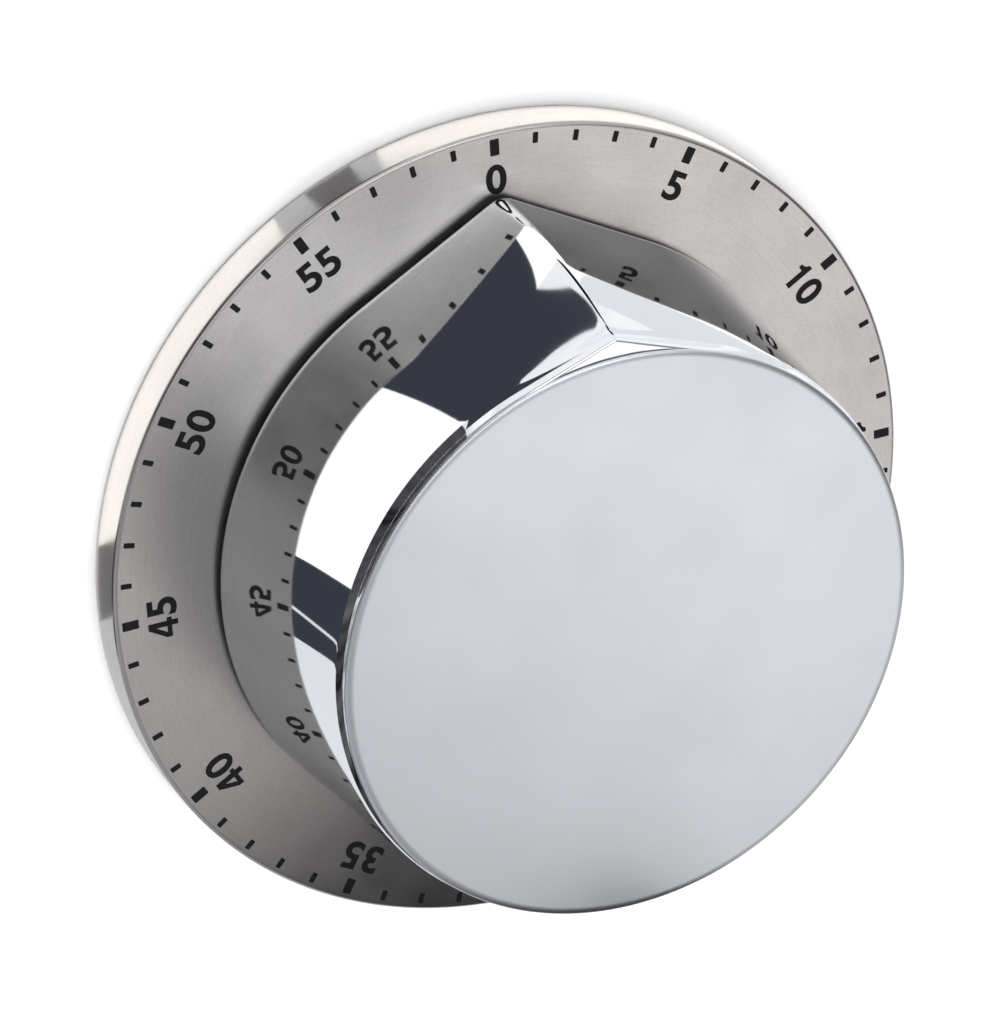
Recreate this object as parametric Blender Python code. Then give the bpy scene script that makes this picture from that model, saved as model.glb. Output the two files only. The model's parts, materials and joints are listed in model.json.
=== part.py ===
"""Mechanical 60 minute kitchen timer: a steel dial pan with a large turning knob over a clockwork.

Lengths named below are millimetres and angles are degrees. The origin is the centre of the
surface that the timer stands on, +Z is up, +Y points to the zero mark of the dial and +X to
the 15 minute mark. The knob turns clockwise, seen from above, to set the time.
"""
import math

import bmesh
import bpy

MM = 0.001

# Clearances
GAP = 0.3                # between pieces that rest on each other
RUN = 0.1                # radial, between a shaft and its hole
OVERLAP = 0.4            # how far a joined or cutting shape runs past a surface

# Dial pan and underside
DIAL_RADIUS = 40.0
DIAL_TOP = 4.7
DIAL_EDGE = 0.4          # rounding where the dial turns down into its skirt
SHEET = 0.7              # thickness of the dial's steel sheet
DIAL_BORE = 12.0
SKIRT_FOOT = 0.3         # the skirt ends this far above the table
COVER_BOTTOM = 0.5
COVER_TOP = 2.1
GROOVE_INNER = 32.0
GROOVE_OUTER = 36.0
GROOVE_TOP = 1.5
MAGNET_RADIUS = 6.0
MAGNET_RING = 17.0
MAGNET_ANGLES = (30, 150, 270)

# Knob
KNOB_GAP = 0.8           # shadow gap between the dial and the knob
KNOB_TOP = 29.7          # top of the face
RIM_TOP = 29.05          # top of the shell, under the face's flange
WALL_TOP = 28.2          # where the wall meets the bevel
KNOB_BASE_RADIUS = 30.0
KNOB_WALL_TOP_RADIUS = 28.1
KNOB_WALL = 1.3
RIM_RADIUS = 27.8
FACE_RADIUS = 27.75
RECESS_RADIUS = 27.3
RECESS_FLOOR = 28.4
CEILING = 27.4
POINTER_REACH = 33.8     # crest of the pointer at the foot of the knob
POINTER_LEAN = 4.6       # how far the crest draws in by the top
POINTER_CURVE = 2.2      # power of that draw
POINTER_NOSE = 0.4       # radius of the pointer's blunt edge at its top
POINTER_NOSE_GROWTH = 0.9  # how much larger that radius is at the foot
NOSE_STEPS = 4
RING_STEPS = 60

# Movement case
CASE_RADIUS = 26.5
CASE_WALL = 1.3
CASE_FLOOR_TOP = 6.2
CASE_RIM = 24.2
LID_BOTTOM = 24.5
LID_TOP = 25.5
LID_BORE = 6.0
SCREW_RING = 23.2
SCREW_ANGLES = (90, 210, 330)
SCREW_RADIUS = 1.0

# The stop: a post on the lid and a rib in the knob, which meet after 59 minutes
STOP_RING = 25.0
STOP_WIDTH = 1.0
STOP_LENGTH = 2.4
STOP_ANGLE = 270
STOP_CLEAR_ANGLE = 3.0   # between the centres of rib and post at either end of the turn

# Movement frame
PLATE_RADIUS = 24.6
BACK_PLATE = (12.2, 13.0)
FRONT_PLATE = (20.6, 21.4)
PILLAR_RING = 21.0
PILLAR_ANGLES = (15, 180, 285)

# Going train: each wheel drives the next arbor's pinion
LEAVES = 6
MAIN_TEETH, MAIN_MODULE = 48, 0.6
SECOND_TEETH, SECOND_MODULE = 42, 0.375
THIRD_TEETH, THIRD_MODULE = 42, 0.33
TRAIN_RING = MAIN_MODULE * (MAIN_TEETH + LEAVES) / 2
SECOND_ANGLE = 60.0
MAIN_WHEEL_Z = (17.6, 18.4)
SECOND_WHEEL_Z = (19.0, 19.5)
THIRD_WHEEL_Z = (15.5, 16.0)
ARBOR_RADIUS = 0.6
PIVOT_RADIUS = 0.4
MAIN_ARBOR_RADIUS = 2.0
MAIN_PIVOT_RADIUS = 1.4

# Escapement
ESCAPE_TEETH = 15
ESCAPE_TIP = 4.5
ESCAPE_ROOT = 3.3
ESCAPE_Z = (13.8, 14.3)
STAFF_DISTANCE = 7.2
PALLET_RADIUS = 5.25
PALLET_SPAN = 50.0       # half the angle that the two pallets span round the escape wheel
BALANCE_RADIUS = 6.0
BALANCE_Z = (18.9, 19.6)

# Bell and hammer
BELL_RADIUS = 20.0
BELL_SHEET = 0.6
BELL_Z = (7.0, 11.2)
HAMMER_ANGLE = 240.0
HAMMER_ARBOR_RADIUS = 0.8
HAMMER_HEAD_RING = 17.2
HAMMER_HEAD_ANGLE = 215.0
HAMMER_ARM_Z = (9.4, 10.2)
CAM_RADIUS = 7.0
CAM_Z = (22.0, 22.8)
LEVER_TIP_ANGLE = 222.0
LEVER_TIP_RADIUS = 0.8

SMOOTH_ANGLE = 35.0


def clear_scene():
    for item in list(bpy.data.objects):
        bpy.data.objects.remove(item, do_unlink=True)


def polar(radius, angle):
    turn = math.radians(angle)
    return (radius * math.cos(turn), radius * math.sin(turn))


def bearing(start, end):
    return math.degrees(math.atan2(end[1] - start[1], end[0] - start[0]))


def chord_angle(length):
    """Angle between two arbors on the train's circle that stand this far apart."""
    return math.degrees(2 * math.asin(length / 2 / TRAIN_RING))


def gear_distance(teeth, module):
    return module * (teeth + LEAVES) / 2


MAIN = (0.0, 0.0)
SECOND = polar(TRAIN_RING, SECOND_ANGLE)
THIRD_ANGLE = SECOND_ANGLE + chord_angle(gear_distance(SECOND_TEETH, SECOND_MODULE))
THIRD = polar(TRAIN_RING, THIRD_ANGLE)
ESCAPE_ANGLE = THIRD_ANGLE + chord_angle(gear_distance(THIRD_TEETH, THIRD_MODULE))
ESCAPE = polar(TRAIN_RING, ESCAPE_ANGLE)
STAFF = polar(TRAIN_RING, ESCAPE_ANGLE + chord_angle(STAFF_DISTANCE))
HAMMER = polar(TRAIN_RING, HAMMER_ANGLE)


def make_material(name, colour, roughness, metallic):
    material = bpy.data.materials.new(name)
    material.use_nodes = True
    shader = material.node_tree.nodes["Principled BSDF"]
    shader.inputs["Base Color"].default_value = (*colour, 1.0)
    shader.inputs["Roughness"].default_value = roughness
    shader.inputs["Metallic"].default_value = metallic
    material.diffuse_color = (*colour, 1.0)
    return material


def make_axis(name, centre):
    """An empty on a moving body's axis, which the body's pieces are parented to."""
    axis = bpy.data.objects.new(name, None)
    axis.location = (centre[0] * MM, centre[1] * MM, 0)
    bpy.context.scene.collection.objects.link(axis)
    return axis


def place(name, mesh, material, centre=(0, 0), angle=0.0, axis=None):
    """Link a mesh as an object with its origin at centre, or on its axis."""
    piece = bpy.data.objects.new(name, mesh)
    if material:
        piece.data.materials.clear()
        piece.data.materials.append(material)
    if axis:
        piece.parent = axis
    else:
        piece.location = (centre[0] * MM, centre[1] * MM, 0)
    piece.rotation_euler.z = math.radians(angle)
    bpy.context.scene.collection.objects.link(piece)
    return piece


def finish_mesh(shape, name):
    bmesh.ops.recalc_face_normals(shape, faces=shape.faces)
    mesh = bpy.data.meshes.new(name)
    shape.to_mesh(mesh)
    shape.free()
    mesh.shade_smooth()
    mesh.set_sharp_from_angle(angle=math.radians(SMOOTH_ANGLE))
    return mesh


def turned(name, profile, steps):
    """Spin a profile of (radius, height) about Z. It is closed, or starts and ends on the axis."""
    shape = bmesh.new()
    points = [shape.verts.new((radius * MM, 0, height * MM)) for radius, height in profile]
    edges = [shape.edges.new(pair) for pair in zip(points, points[1:])]
    if profile[0][0] > 0:
        edges.append(shape.edges.new((points[-1], points[0])))
    bmesh.ops.spin(shape, geom=points + edges, cent=(0, 0, 0), axis=(0, 0, 1),
                   angle=2 * math.pi, steps=steps, use_merge=True)
    bmesh.ops.remove_doubles(shape, verts=shape.verts, dist=1e-7)
    return finish_mesh(shape, name)


def extruded(name, loops, heights):
    """Extrude a flat outline, with the loops after the first as holes, between two heights."""
    shape = bmesh.new()
    low, high = heights
    for loop in loops:
        points = [shape.verts.new((x * MM, y * MM, low * MM)) for x, y in loop]
        for index, point in enumerate(points):
            shape.edges.new((points[index - 1], point))
    bmesh.ops.triangle_fill(shape, use_beauty=True, edges=shape.edges, normal=(0, 0, 1))
    grown = bmesh.ops.extrude_face_region(shape, geom=shape.faces[:])
    lifted = [item for item in grown["geom"] if isinstance(item, bmesh.types.BMVert)]
    bmesh.ops.translate(shape, verts=lifted, vec=(0, 0, (high - low) * MM))
    return finish_mesh(shape, name)


def lofted(name, rings):
    """Skin a stack of rings with equal point counts, and cap the first and the last."""
    shape = bmesh.new()
    loops = [[shape.verts.new((x * MM, y * MM, z * MM)) for x, y, z in ring] for ring in rings]
    count = len(rings[0])
    for lower, upper in zip(loops, loops[1:]):
        for index in range(count):
            shape.faces.new((lower[index - 1], lower[index], upper[index], upper[index - 1]))
    shape.faces.new(loops[0])
    shape.faces.new(loops[-1])
    return finish_mesh(shape, name)


def combine(piece, operation, mesh, angle=0.0):
    """Join to or cut from a piece with another mesh, which shares the piece's origin."""
    tool = place(piece.name + "_" + operation.lower(), mesh, None)
    tool.parent = piece.parent
    tool.location = piece.location
    tool.rotation_euler.z = math.radians(angle)
    tool.hide_render = True
    tool.display_type = "WIRE"
    step = piece.modifiers.new(tool.name, "BOOLEAN")
    step.operation = operation
    step.object = tool
    step.solver = "EXACT"


def circle(radius, steps, centre=(0.0, 0.0)):
    points = [polar(radius, 360 * index / steps) for index in range(steps)]
    return [(centre[0] + x, centre[1] + y) for x, y in points]


def rods(name, radius, heights, centres, steps=12):
    """Several upright cylinders in one mesh, to join or to cut."""
    shape = bmesh.new()
    low, high = heights
    for x, y in centres:
        made = bmesh.ops.create_cone(shape, cap_ends=True, segments=steps, radius1=radius * MM,
                                     radius2=radius * MM, depth=(high - low) * MM)
        bmesh.ops.translate(shape, verts=made["verts"], vec=(x * MM, y * MM, (low + high) / 2 * MM))
    return finish_mesh(shape, name)


def gear_outline(teeth, module):
    """Outline of a wheel or pinion with straight-sided teeth, the first one centred on +X."""
    addendum, dedendum, tip_share, root_share = 0.9, 1.3, 0.24, 0.55
    pitch_radius = module * teeth / 2
    tip, root = pitch_radius + addendum * module, pitch_radius - dedendum * module
    pitch = 360 / teeth
    outline = []
    for tooth in range(teeth):
        middle = tooth * pitch
        outline.append(polar(root, middle - root_share * pitch / 2))
        outline.append(polar(tip, middle - tip_share * pitch / 2))
        outline.append(polar(tip, middle + tip_share * pitch / 2))
        outline.append(polar(root, middle + root_share * pitch / 2))
    return outline


def window_loops(inner, outer, count, arm_width, steps=4):
    """Openings between the arms of a wheel, each with straight sides along its arms."""
    loops = []
    for index in range(count):
        start, end = 360 * index / count, 360 * (index + 1) / count
        loop = []
        for radius, backwards in ((inner, False), (outer, True)):
            half_arm = math.degrees(math.asin(arm_width / 2 / radius))
            low, high = start + half_arm, end - half_arm
            arc = [polar(radius, low + (high - low) * k / steps) for k in range(steps + 1)]
            loop += arc[::-1] if backwards else arc
        loops.append(loop)
    return loops


def bar_outline(start, end, start_radius, end_radius, steps=6):
    """Outline of a flat lever with round ends, between two points."""
    along = bearing(start, end)
    outline = []
    for centre, radius, first in ((start, start_radius, along + 90), (end, end_radius, along - 90)):
        for index in range(steps + 1):
            x, y = polar(radius, first + 180 * index / steps)
            outline.append((centre[0] + x, centre[1] + y))
    return outline


# Base --------------------------------------------------------------------------------------

def make_dial_plate(steel):
    profile = [
        (DIAL_BORE, DIAL_TOP),
        (DIAL_RADIUS - DIAL_EDGE, DIAL_TOP),
        (DIAL_RADIUS, DIAL_TOP - DIAL_EDGE),
        (DIAL_RADIUS, SKIRT_FOOT),
        (DIAL_RADIUS - SHEET, SKIRT_FOOT),
        (DIAL_RADIUS - SHEET, DIAL_TOP - SHEET),
        (DIAL_BORE, DIAL_TOP - SHEET),
    ]
    plate = place("dial_plate", turned("dial_plate", profile, 72), steel)
    centres = [polar(SCREW_RING, angle) for angle in SCREW_ANGLES]
    heights = (DIAL_TOP - SHEET - OVERLAP, DIAL_TOP + OVERLAP)
    combine(plate, "DIFFERENCE", rods("dial_screw_holes", SCREW_RADIUS + 0.4, heights, centres))


def make_rear_cover(plastic):
    """Moulded cover with the foot's groove, magnet pockets, a stiffening rim and screw bosses."""
    rim_outer, rim_inner = 38.0, 37.0
    outer = DIAL_RADIUS - SHEET - GAP
    inside = DIAL_TOP - SHEET - GAP
    profile = [
        (0, COVER_BOTTOM), (GROOVE_INNER, COVER_BOTTOM), (GROOVE_INNER, GROOVE_TOP),
        (GROOVE_OUTER, GROOVE_TOP), (GROOVE_OUTER, COVER_BOTTOM), (outer, COVER_BOTTOM),
        (outer, COVER_TOP), (rim_outer, COVER_TOP), (rim_outer, inside), (rim_inner, inside),
        (rim_inner, COVER_TOP), (0, COVER_TOP),
    ]
    cover = place("rear_cover", turned("rear_cover", profile, 48), plastic)
    screws = [polar(SCREW_RING, angle) for angle in SCREW_ANGLES]
    magnets = [polar(MAGNET_RING, angle) for angle in MAGNET_ANGLES]
    below = COVER_BOTTOM - OVERLAP
    bosses = rods("cover_bosses", 3.4, (COVER_TOP - OVERLAP, inside), screws, 16)
    counterbores = rods("cover_counterbores", 2.5, (below, 2.0), screws, 16)
    holes = rods("cover_holes", SCREW_RADIUS + 0.2, (below, inside + OVERLAP), screws)
    pockets = rods("cover_pockets", MAGNET_RADIUS + GAP, (below, 1.7), magnets, 20)
    combine(cover, "UNION", bosses)
    for cut in (counterbores, holes, pockets):
        combine(cover, "DIFFERENCE", cut)


def make_foot_ring(rubber):
    inner, outer = GROOVE_INNER + GAP, GROOVE_OUTER - GAP
    top, round_off = GROOVE_TOP - GAP, 0.3
    profile = [
        (inner, top), (outer, top), (outer, round_off), (outer - round_off, 0),
        (inner + round_off, 0), (inner, round_off),
    ]
    place("foot_ring", turned("foot_ring", profile, 48), rubber)


def make_magnets(ferrite):
    low, high = COVER_BOTTOM + 0.1, 1.4
    mesh = rods("magnet", MAGNET_RADIUS, (low, high), [(0, 0)], 20)
    for index, angle in enumerate(MAGNET_ANGLES, start=1):
        place(f"magnet_{index}", mesh, ferrite, polar(MAGNET_RING, angle))


def screw_mesh(name, head_radius, head_z, shank_radius, tip_z, steps=12):
    """Pan-head screw, pointing away from its head."""
    profile = [(0, head_z[0]), (head_radius, head_z[0]), (head_radius, head_z[1]),
               (shank_radius, head_z[1]), (shank_radius, tip_z), (0, tip_z)]
    return turned(name, profile, steps)


def make_case_screws(zinc):
    """They clamp the cover, the dial and the case to the movement's back plate."""
    mesh = screw_mesh("case_screw", 2.2, (0.8, 1.7), SCREW_RADIUS, BACK_PLATE[1] - 0.2)
    for index, angle in enumerate(SCREW_ANGLES, start=1):
        place(f"case_screw_{index}", mesh, zinc, polar(SCREW_RING, angle))


# Movement case -----------------------------------------------------------------------------

def make_movement_case(plastic):
    """Cup that holds the clockwork, with a spigot through the dial and three screw bosses."""
    inner = CASE_RADIUS - CASE_WALL
    floor = DIAL_TOP + GAP
    spigot_end = COVER_TOP + 0.9
    pedestal_radius, pedestal_top = 3.0, BELL_Z[0] - GAP
    profile = [
        (0, spigot_end), (DIAL_BORE - GAP, spigot_end), (DIAL_BORE - GAP, floor),
        (CASE_RADIUS, floor), (CASE_RADIUS, CASE_RIM), (inner, CASE_RIM),
        (inner, CASE_FLOOR_TOP), (pedestal_radius, CASE_FLOOR_TOP),
        (pedestal_radius, pedestal_top), (0, pedestal_top),
    ]
    case = place("movement_case", turned("movement_case", profile, 40), plastic)
    centres = [polar(SCREW_RING, angle) for angle in SCREW_ANGLES]
    boss_top = BACK_PLATE[0] - GAP
    bosses = rods("case_bosses", 2.3, (CASE_FLOOR_TOP - OVERLAP, boss_top), centres, 14)
    holes = rods("case_holes", SCREW_RADIUS + 0.15, (floor - OVERLAP, boss_top + OVERLAP), centres)
    bell_hole = rods("bell_screw_hole", 1.1, (3.9, pedestal_top + OVERLAP), [(0, 0)])
    combine(case, "UNION", bosses)
    combine(case, "DIFFERENCE", holes)
    combine(case, "DIFFERENCE", bell_hole)


def stop_block(name, angle, heights):
    """A block that points outward, centred on the stop circle."""
    corners = []
    for along, across in ((-0.5, -0.5), (0.5, -0.5), (0.5, 0.5), (-0.5, 0.5)):
        x, y = STOP_RING + along * STOP_LENGTH, across * STOP_WIDTH
        corners.append(polar(math.hypot(x, y), angle + math.degrees(math.atan2(y, x))))
    return extruded(name, [corners], heights)


def make_case_lid(plastic):
    lip_outer, lip_inner, lip_end = CASE_RADIUS - CASE_WALL - GAP, 24.0, LID_BOTTOM - 0.9
    profile = [
        (LID_BORE, LID_BOTTOM), (lip_inner, LID_BOTTOM), (lip_inner, lip_end),
        (lip_outer, lip_end), (lip_outer, LID_BOTTOM), (CASE_RADIUS, LID_BOTTOM),
        (CASE_RADIUS, LID_TOP), (LID_BORE, LID_TOP),
    ]
    lid = place("case_lid", turned("case_lid", profile, 40), plastic)
    post = stop_block("lid_stop_post", STOP_ANGLE, (LID_TOP - OVERLAP, CEILING - GAP))
    combine(lid, "UNION", post)


# Bell --------------------------------------------------------------------------------------

def make_bell(bell_steel):
    low, high = BELL_Z
    shoulder = 1.2
    inner = BELL_RADIUS - BELL_SHEET
    profile = [
        (1.2, low), (BELL_RADIUS - shoulder, low), (BELL_RADIUS, low + shoulder),
        (BELL_RADIUS, high), (inner, high), (inner, low + shoulder + 0.3),
        (inner - 0.9, low + BELL_SHEET), (1.2, low + BELL_SHEET),
    ]
    place("bell", turned("bell", profile, 32), bell_steel)


def make_bell_screw(zinc):
    head_low = BELL_Z[0] + BELL_SHEET + GAP
    mesh = screw_mesh("bell_screw", 2.4, (head_low + 1.2, head_low), 0.9, 4.2)
    place("bell_screw", mesh, zinc)


# Movement frame ----------------------------------------------------------------------------

def plate_loops(centre_hole, pillar_hole, with_screws):
    """The outline of a movement plate and the holes for its arbors, pillars and screws."""
    loops = [circle(PLATE_RADIUS, 40), circle(centre_hole, 16)]
    loops += [circle(PIVOT_RADIUS + RUN, 10, at) for at in (SECOND, THIRD, ESCAPE, STAFF)]
    loops.append(circle(HAMMER_ARBOR_RADIUS + RUN, 12, HAMMER))
    loops += [circle(pillar_hole, 10, polar(PILLAR_RING, angle)) for angle in PILLAR_ANGLES]
    if with_screws:
        loops += [circle(SCREW_RADIUS + RUN, 12, polar(SCREW_RING, at)) for at in SCREW_ANGLES]
    return loops


def make_plates(brass):
    back = plate_loops(MAIN_PIVOT_RADIUS + RUN, 1.0, True)
    front = plate_loops(MAIN_ARBOR_RADIUS + RUN, 0.95, False)
    place("back_plate", extruded("back_plate", back, BACK_PLATE), brass)
    place("front_plate", extruded("front_plate", front, FRONT_PLATE), brass)


def make_pillars(brass, zinc):
    low, high = BACK_PLATE[1] + GAP, FRONT_PLATE[0] - GAP
    tenon_end = BACK_PLATE[0] + 0.2
    body, tenon, bore, bore_end = 1.6, 0.9, 0.9, 16.5
    profile = [(0, tenon_end), (tenon, tenon_end), (tenon, low), (body, low), (body, high),
               (bore, high), (bore, bore_end), (0, bore_end)]
    pillar = turned("pillar", profile, 12)
    head_low = FRONT_PLATE[1] + GAP
    screw = screw_mesh("pillar_screw", 1.8, (head_low + 0.9, head_low), 0.75, bore_end + GAP)
    for index, angle in enumerate(PILLAR_ANGLES, start=1):
        centre = polar(PILLAR_RING, angle)
        place(f"pillar_{index}", pillar, brass, centre)
        place(f"pillar_screw_{index}", screw, zinc, centre)


def make_mainspring(spring_steel):
    """Flat coil, wound from beside the main arbor out to its post."""
    inner, outer, turns, steps_per_turn = 2.6, 8.4, 4, 15
    thickness = 0.25
    heights = (13.9, 16.3)
    steps = turns * steps_per_turn
    inside, outside = [], []
    for index in range(steps + 1):
        radius = inner + (outer - inner) * index / steps
        angle = 250 + 360 * turns * (index / steps - 1)
        inside.append(polar(radius, angle))
        outside.append(polar(radius + thickness, angle))
    mesh = extruded("mainspring", [inside + outside[::-1]], heights)
    place("mainspring", mesh, spring_steel)


def make_spring_post(steel):
    post_ring, post_angle, radius = 10.0, 252, 0.7
    heights = (BACK_PLATE[1] + GAP, 16.5)
    mesh = rods("spring_post", radius, heights, [(0, 0)], 10)
    place("spring_post", mesh, steel, polar(post_ring, post_angle))


# Knob body ---------------------------------------------------------------------------------

def pointer_outline(radius, reach, nose=POINTER_NOSE):
    """Round outline drawn out along two tangents to a blunt pointer on +Y."""
    side = math.degrees(math.acos((radius - nose) / (reach - nose)))
    points = [polar(radius, 90 + side + (360 - 2 * side) * k / RING_STEPS)
              for k in range(RING_STEPS + 1)]
    for step in range(NOSE_STEPS + 1):
        x, y = polar(nose, 90 - side + 2 * side * step / NOSE_STEPS)
        points.append((x, y + reach - nose))
    return points


def round_outline(radius, side):
    """A circle whose points fall where a pointer outline with this side angle has its own."""
    points = [polar(radius, 90 + side + (360 - 2 * side) * k / RING_STEPS)
              for k in range(RING_STEPS + 1)]
    nose_side = side * (1 - 2 / (NOSE_STEPS + 2))
    points += [polar(radius, 90 - nose_side + 2 * nose_side * step / NOSE_STEPS)
               for step in range(NOSE_STEPS + 1)]
    return points


def crest_reach(height):
    """How far the pointer's crest stands from the axis at a height."""
    rise = (height - DIAL_TOP) / (KNOB_TOP - DIAL_TOP)
    return POINTER_REACH - POINTER_LEAN * rise ** POINTER_CURVE


def wall_radius(height):
    rise = (height - DIAL_TOP) / (WALL_TOP - DIAL_TOP)
    return KNOB_BASE_RADIUS + (KNOB_WALL_TOP_RADIUS - KNOB_BASE_RADIUS) * rise


def pointer_ring(height):
    """Outline of the wall and its pointer at a height."""
    fall = (WALL_TOP - height) / (WALL_TOP - DIAL_TOP)
    nose = POINTER_NOSE + POINTER_NOSE_GROWTH * fall ** 2
    return pointer_outline(wall_radius(height), crest_reach(height), nose)


def knob_rings():
    """Rings from the recess for the face, over the rim, down the outside and up the inside."""
    foot = DIAL_TOP + KNOB_GAP
    side = math.degrees(math.acos(KNOB_BASE_RADIUS / POINTER_REACH))
    rings = [
        [(x, y, RECESS_FLOOR) for x, y in round_outline(RECESS_RADIUS, side)],
        [(x, y, RIM_TOP) for x, y in round_outline(RECESS_RADIUS, side)],
    ]
    bevel = ((RIM_RADIUS, RIM_RADIUS + 0.7, RIM_TOP),
             (RIM_RADIUS + 0.2, RIM_RADIUS + 1.35, RIM_TOP - 0.3))
    for radius, reach, height in bevel:
        rings.append([(x, y, height) for x, y in pointer_outline(radius, reach)])
    levels = 6
    for level in range(levels):
        height = WALL_TOP + (foot - WALL_TOP) * level / (levels - 1)
        rings.append([(x, y, height) for x, y in pointer_ring(height)])
    for height in (foot, CEILING):
        inside = round_outline(wall_radius(height) - KNOB_WALL, side)
        rings.append([(x, y, height) for x, y in inside])
    return rings


def make_knob_shell(chrome, axis):
    """Cast cup with a pointer, a central boss for the hub, a screw hole and a stop rib."""
    shell = place("knob_shell", lofted("knob_shell", knob_rings()), chrome, axis=axis)
    boss = rods("knob_boss", 4.9, (24.0, CEILING + OVERLAP), [(0, 0)], 24)
    rib_heights = (LID_TOP + 0.4, CEILING + OVERLAP)
    rib = stop_block("knob_stop_rib", STOP_ANGLE - STOP_CLEAR_ANGLE, rib_heights)
    bore = turned("knob_bore", [
        (0, 24.0 - OVERLAP), (3.7, 24.0 - OVERLAP), (3.7, 26.6), (1.1, 26.6), (1.1, CEILING),
        (2.6, CEILING), (2.6, RECESS_FLOOR + OVERLAP), (0, RECESS_FLOOR + OVERLAP),
    ], 20)
    combine(shell, "UNION", boss)
    combine(shell, "UNION", rib)
    combine(shell, "DIFFERENCE", bore)


def make_knob_face(satin, axis):
    """Disc whose plug sits in the shell's recess and whose flange covers the rim."""
    plug, edge = RECESS_RADIUS - GAP, 0.2
    low, flange = RECESS_FLOOR + GAP, RIM_TOP + GAP
    profile = [(0, low), (plug, low), (plug, flange), (FACE_RADIUS, flange),
               (FACE_RADIUS, KNOB_TOP - edge), (FACE_RADIUS - edge, KNOB_TOP), (0, KNOB_TOP)]
    place("knob_face", turned("knob_face", profile, 60), satin, axis=axis)


def flatted_circle(radius, flat, steps):
    """A circle with one flat, for a shaft end or its hole."""
    return [(min(x, flat), y) for x, y in circle(radius, steps)]


def make_knob_hub(brass, axis):
    """Bush in the knob's boss, with a flat in its bore that the arbor drives."""
    outer = circle(3.4, 24)
    bore = flatted_circle(MAIN_ARBOR_RADIUS + RUN, 1.5, 24)
    place("knob_hub", extruded("knob_hub", [outer, bore], (24.1, 26.3)), brass, axis=axis)


def make_main_arbor(steel, axis):
    """Shaft with a pivot, a collar under the main wheel, a flatted end and a tapped hole."""
    collar = (16.7, 17.3)
    collar_radius, top = 3.2, 26.1
    profile = [
        (0, 11.7), (MAIN_PIVOT_RADIUS, 11.7), (MAIN_PIVOT_RADIUS, BACK_PLATE[1] + GAP),
        (MAIN_ARBOR_RADIUS, BACK_PLATE[1] + GAP), (MAIN_ARBOR_RADIUS, collar[0]),
        (collar_radius, collar[0]), (collar_radius, collar[1]),
        (MAIN_ARBOR_RADIUS, collar[1]), (MAIN_ARBOR_RADIUS, top), (1.0, top), (1.0, 22.0),
        (0, 22.0),
    ]
    arbor = place("main_arbor", turned("main_arbor", profile, 20), steel, axis=axis)
    flat = [(1.35, -3), (3, -3), (3, 3), (1.35, 3)]
    combine(arbor, "DIFFERENCE", extruded("arbor_flat", [flat], (23.6, top + OVERLAP)))


def make_knob_screw(zinc, axis):
    head = (RECESS_FLOOR - 0.1, CEILING + GAP)
    mesh = screw_mesh("knob_screw", 2.3, head, 0.85, 22.4)
    place("knob_screw", mesh, zinc, axis=axis)


def make_main_wheel(brass, axis):
    hole = circle(MAIN_ARBOR_RADIUS + RUN, 20)
    loops = [gear_outline(MAIN_TEETH, MAIN_MODULE), hole] + window_loops(5.5, 11.8, 4, 2.4)
    mesh = extruded("main_wheel", loops, MAIN_WHEEL_Z)
    place("main_wheel", mesh, brass, angle=SECOND_ANGLE, axis=axis)


def make_clutch(spring_steel, axis):
    """Dished spring washer and its clip, which press the main wheel on to its collar."""
    bore = MAIN_ARBOR_RADIUS + RUN
    low = MAIN_WHEEL_Z[1] + GAP
    sheet, dish, rim = 0.2, 0.3, 4.6
    washer = [(rim, low), (rim, low + sheet), (bore, low + sheet + dish), (bore, low + dish)]
    place("clutch_spring", turned("clutch_spring", washer, 20), spring_steel, axis=axis)
    clip_low = low + sheet + dish + 0.2
    mouth = 1.2
    opening = math.degrees(math.asin(mouth / 2 / bore))
    inner = [polar(bore, opening + (360 - 2 * opening) * k / 16) for k in range(17)]
    outer = [polar(3.6, opening / 2 + (360 - opening) * k / 16) for k in range(17)]
    clip = extruded("clutch_clip", [inner + outer[::-1]], (clip_low, clip_low + 0.5))
    place("clutch_clip", clip, spring_steel, axis=axis)


def make_alarm_cam(brass, axis):
    """Disc whose notch comes under the trigger lever when the time is up."""
    notch_half, notch_depth, steps = 7.0, 1.3, 30
    start = LEVER_TIP_ANGLE + notch_half
    sweep = 360 - 2 * notch_half
    rim = [polar(CAM_RADIUS, start + sweep * k / steps) for k in range(steps + 1)]
    rim += [polar(CAM_RADIUS - notch_depth, LEVER_TIP_ANGLE - notch_half),
            polar(CAM_RADIUS - notch_depth, LEVER_TIP_ANGLE + notch_half)]
    hole = circle(MAIN_ARBOR_RADIUS + RUN, 20)
    place("alarm_cam", extruded("alarm_cam", [rim, hole], CAM_Z), brass, axis=axis)


# Going train -------------------------------------------------------------------------------

def arbor_profile():
    low, high = BACK_PLATE[1] + GAP, FRONT_PLATE[0] - GAP
    return [(0, BACK_PLATE[0] + 0.1), (PIVOT_RADIUS, BACK_PLATE[0] + 0.1), (PIVOT_RADIUS, low),
            (ARBOR_RADIUS, low), (ARBOR_RADIUS, high), (PIVOT_RADIUS, high),
            (PIVOT_RADIUS, FRONT_PLATE[1] - 0.1), (0, FRONT_PLATE[1] - 0.1)]


def make_arbor(name, steel, axis, module, leaf_z, angle):
    """Train arbor with its pinion cut in one piece."""
    arbor = place(name, turned(name, arbor_profile(), 12), steel, axis=axis)
    leaves = extruded(name + "_leaves", [gear_outline(LEAVES, module)], leaf_z)
    combine(arbor, "UNION", leaves, angle)


def make_train_wheel(name, brass, axis, teeth, module, heights, angle):
    rim = module * teeth / 2 - 2.4 * module
    hole = circle(ARBOR_RADIUS + RUN, 12)
    loops = [gear_outline(teeth, module), hole] + window_loops(2.2, rim, 3, 1.0)
    place(name, extruded(name, loops, heights), brass, angle=angle, axis=axis)


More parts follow.
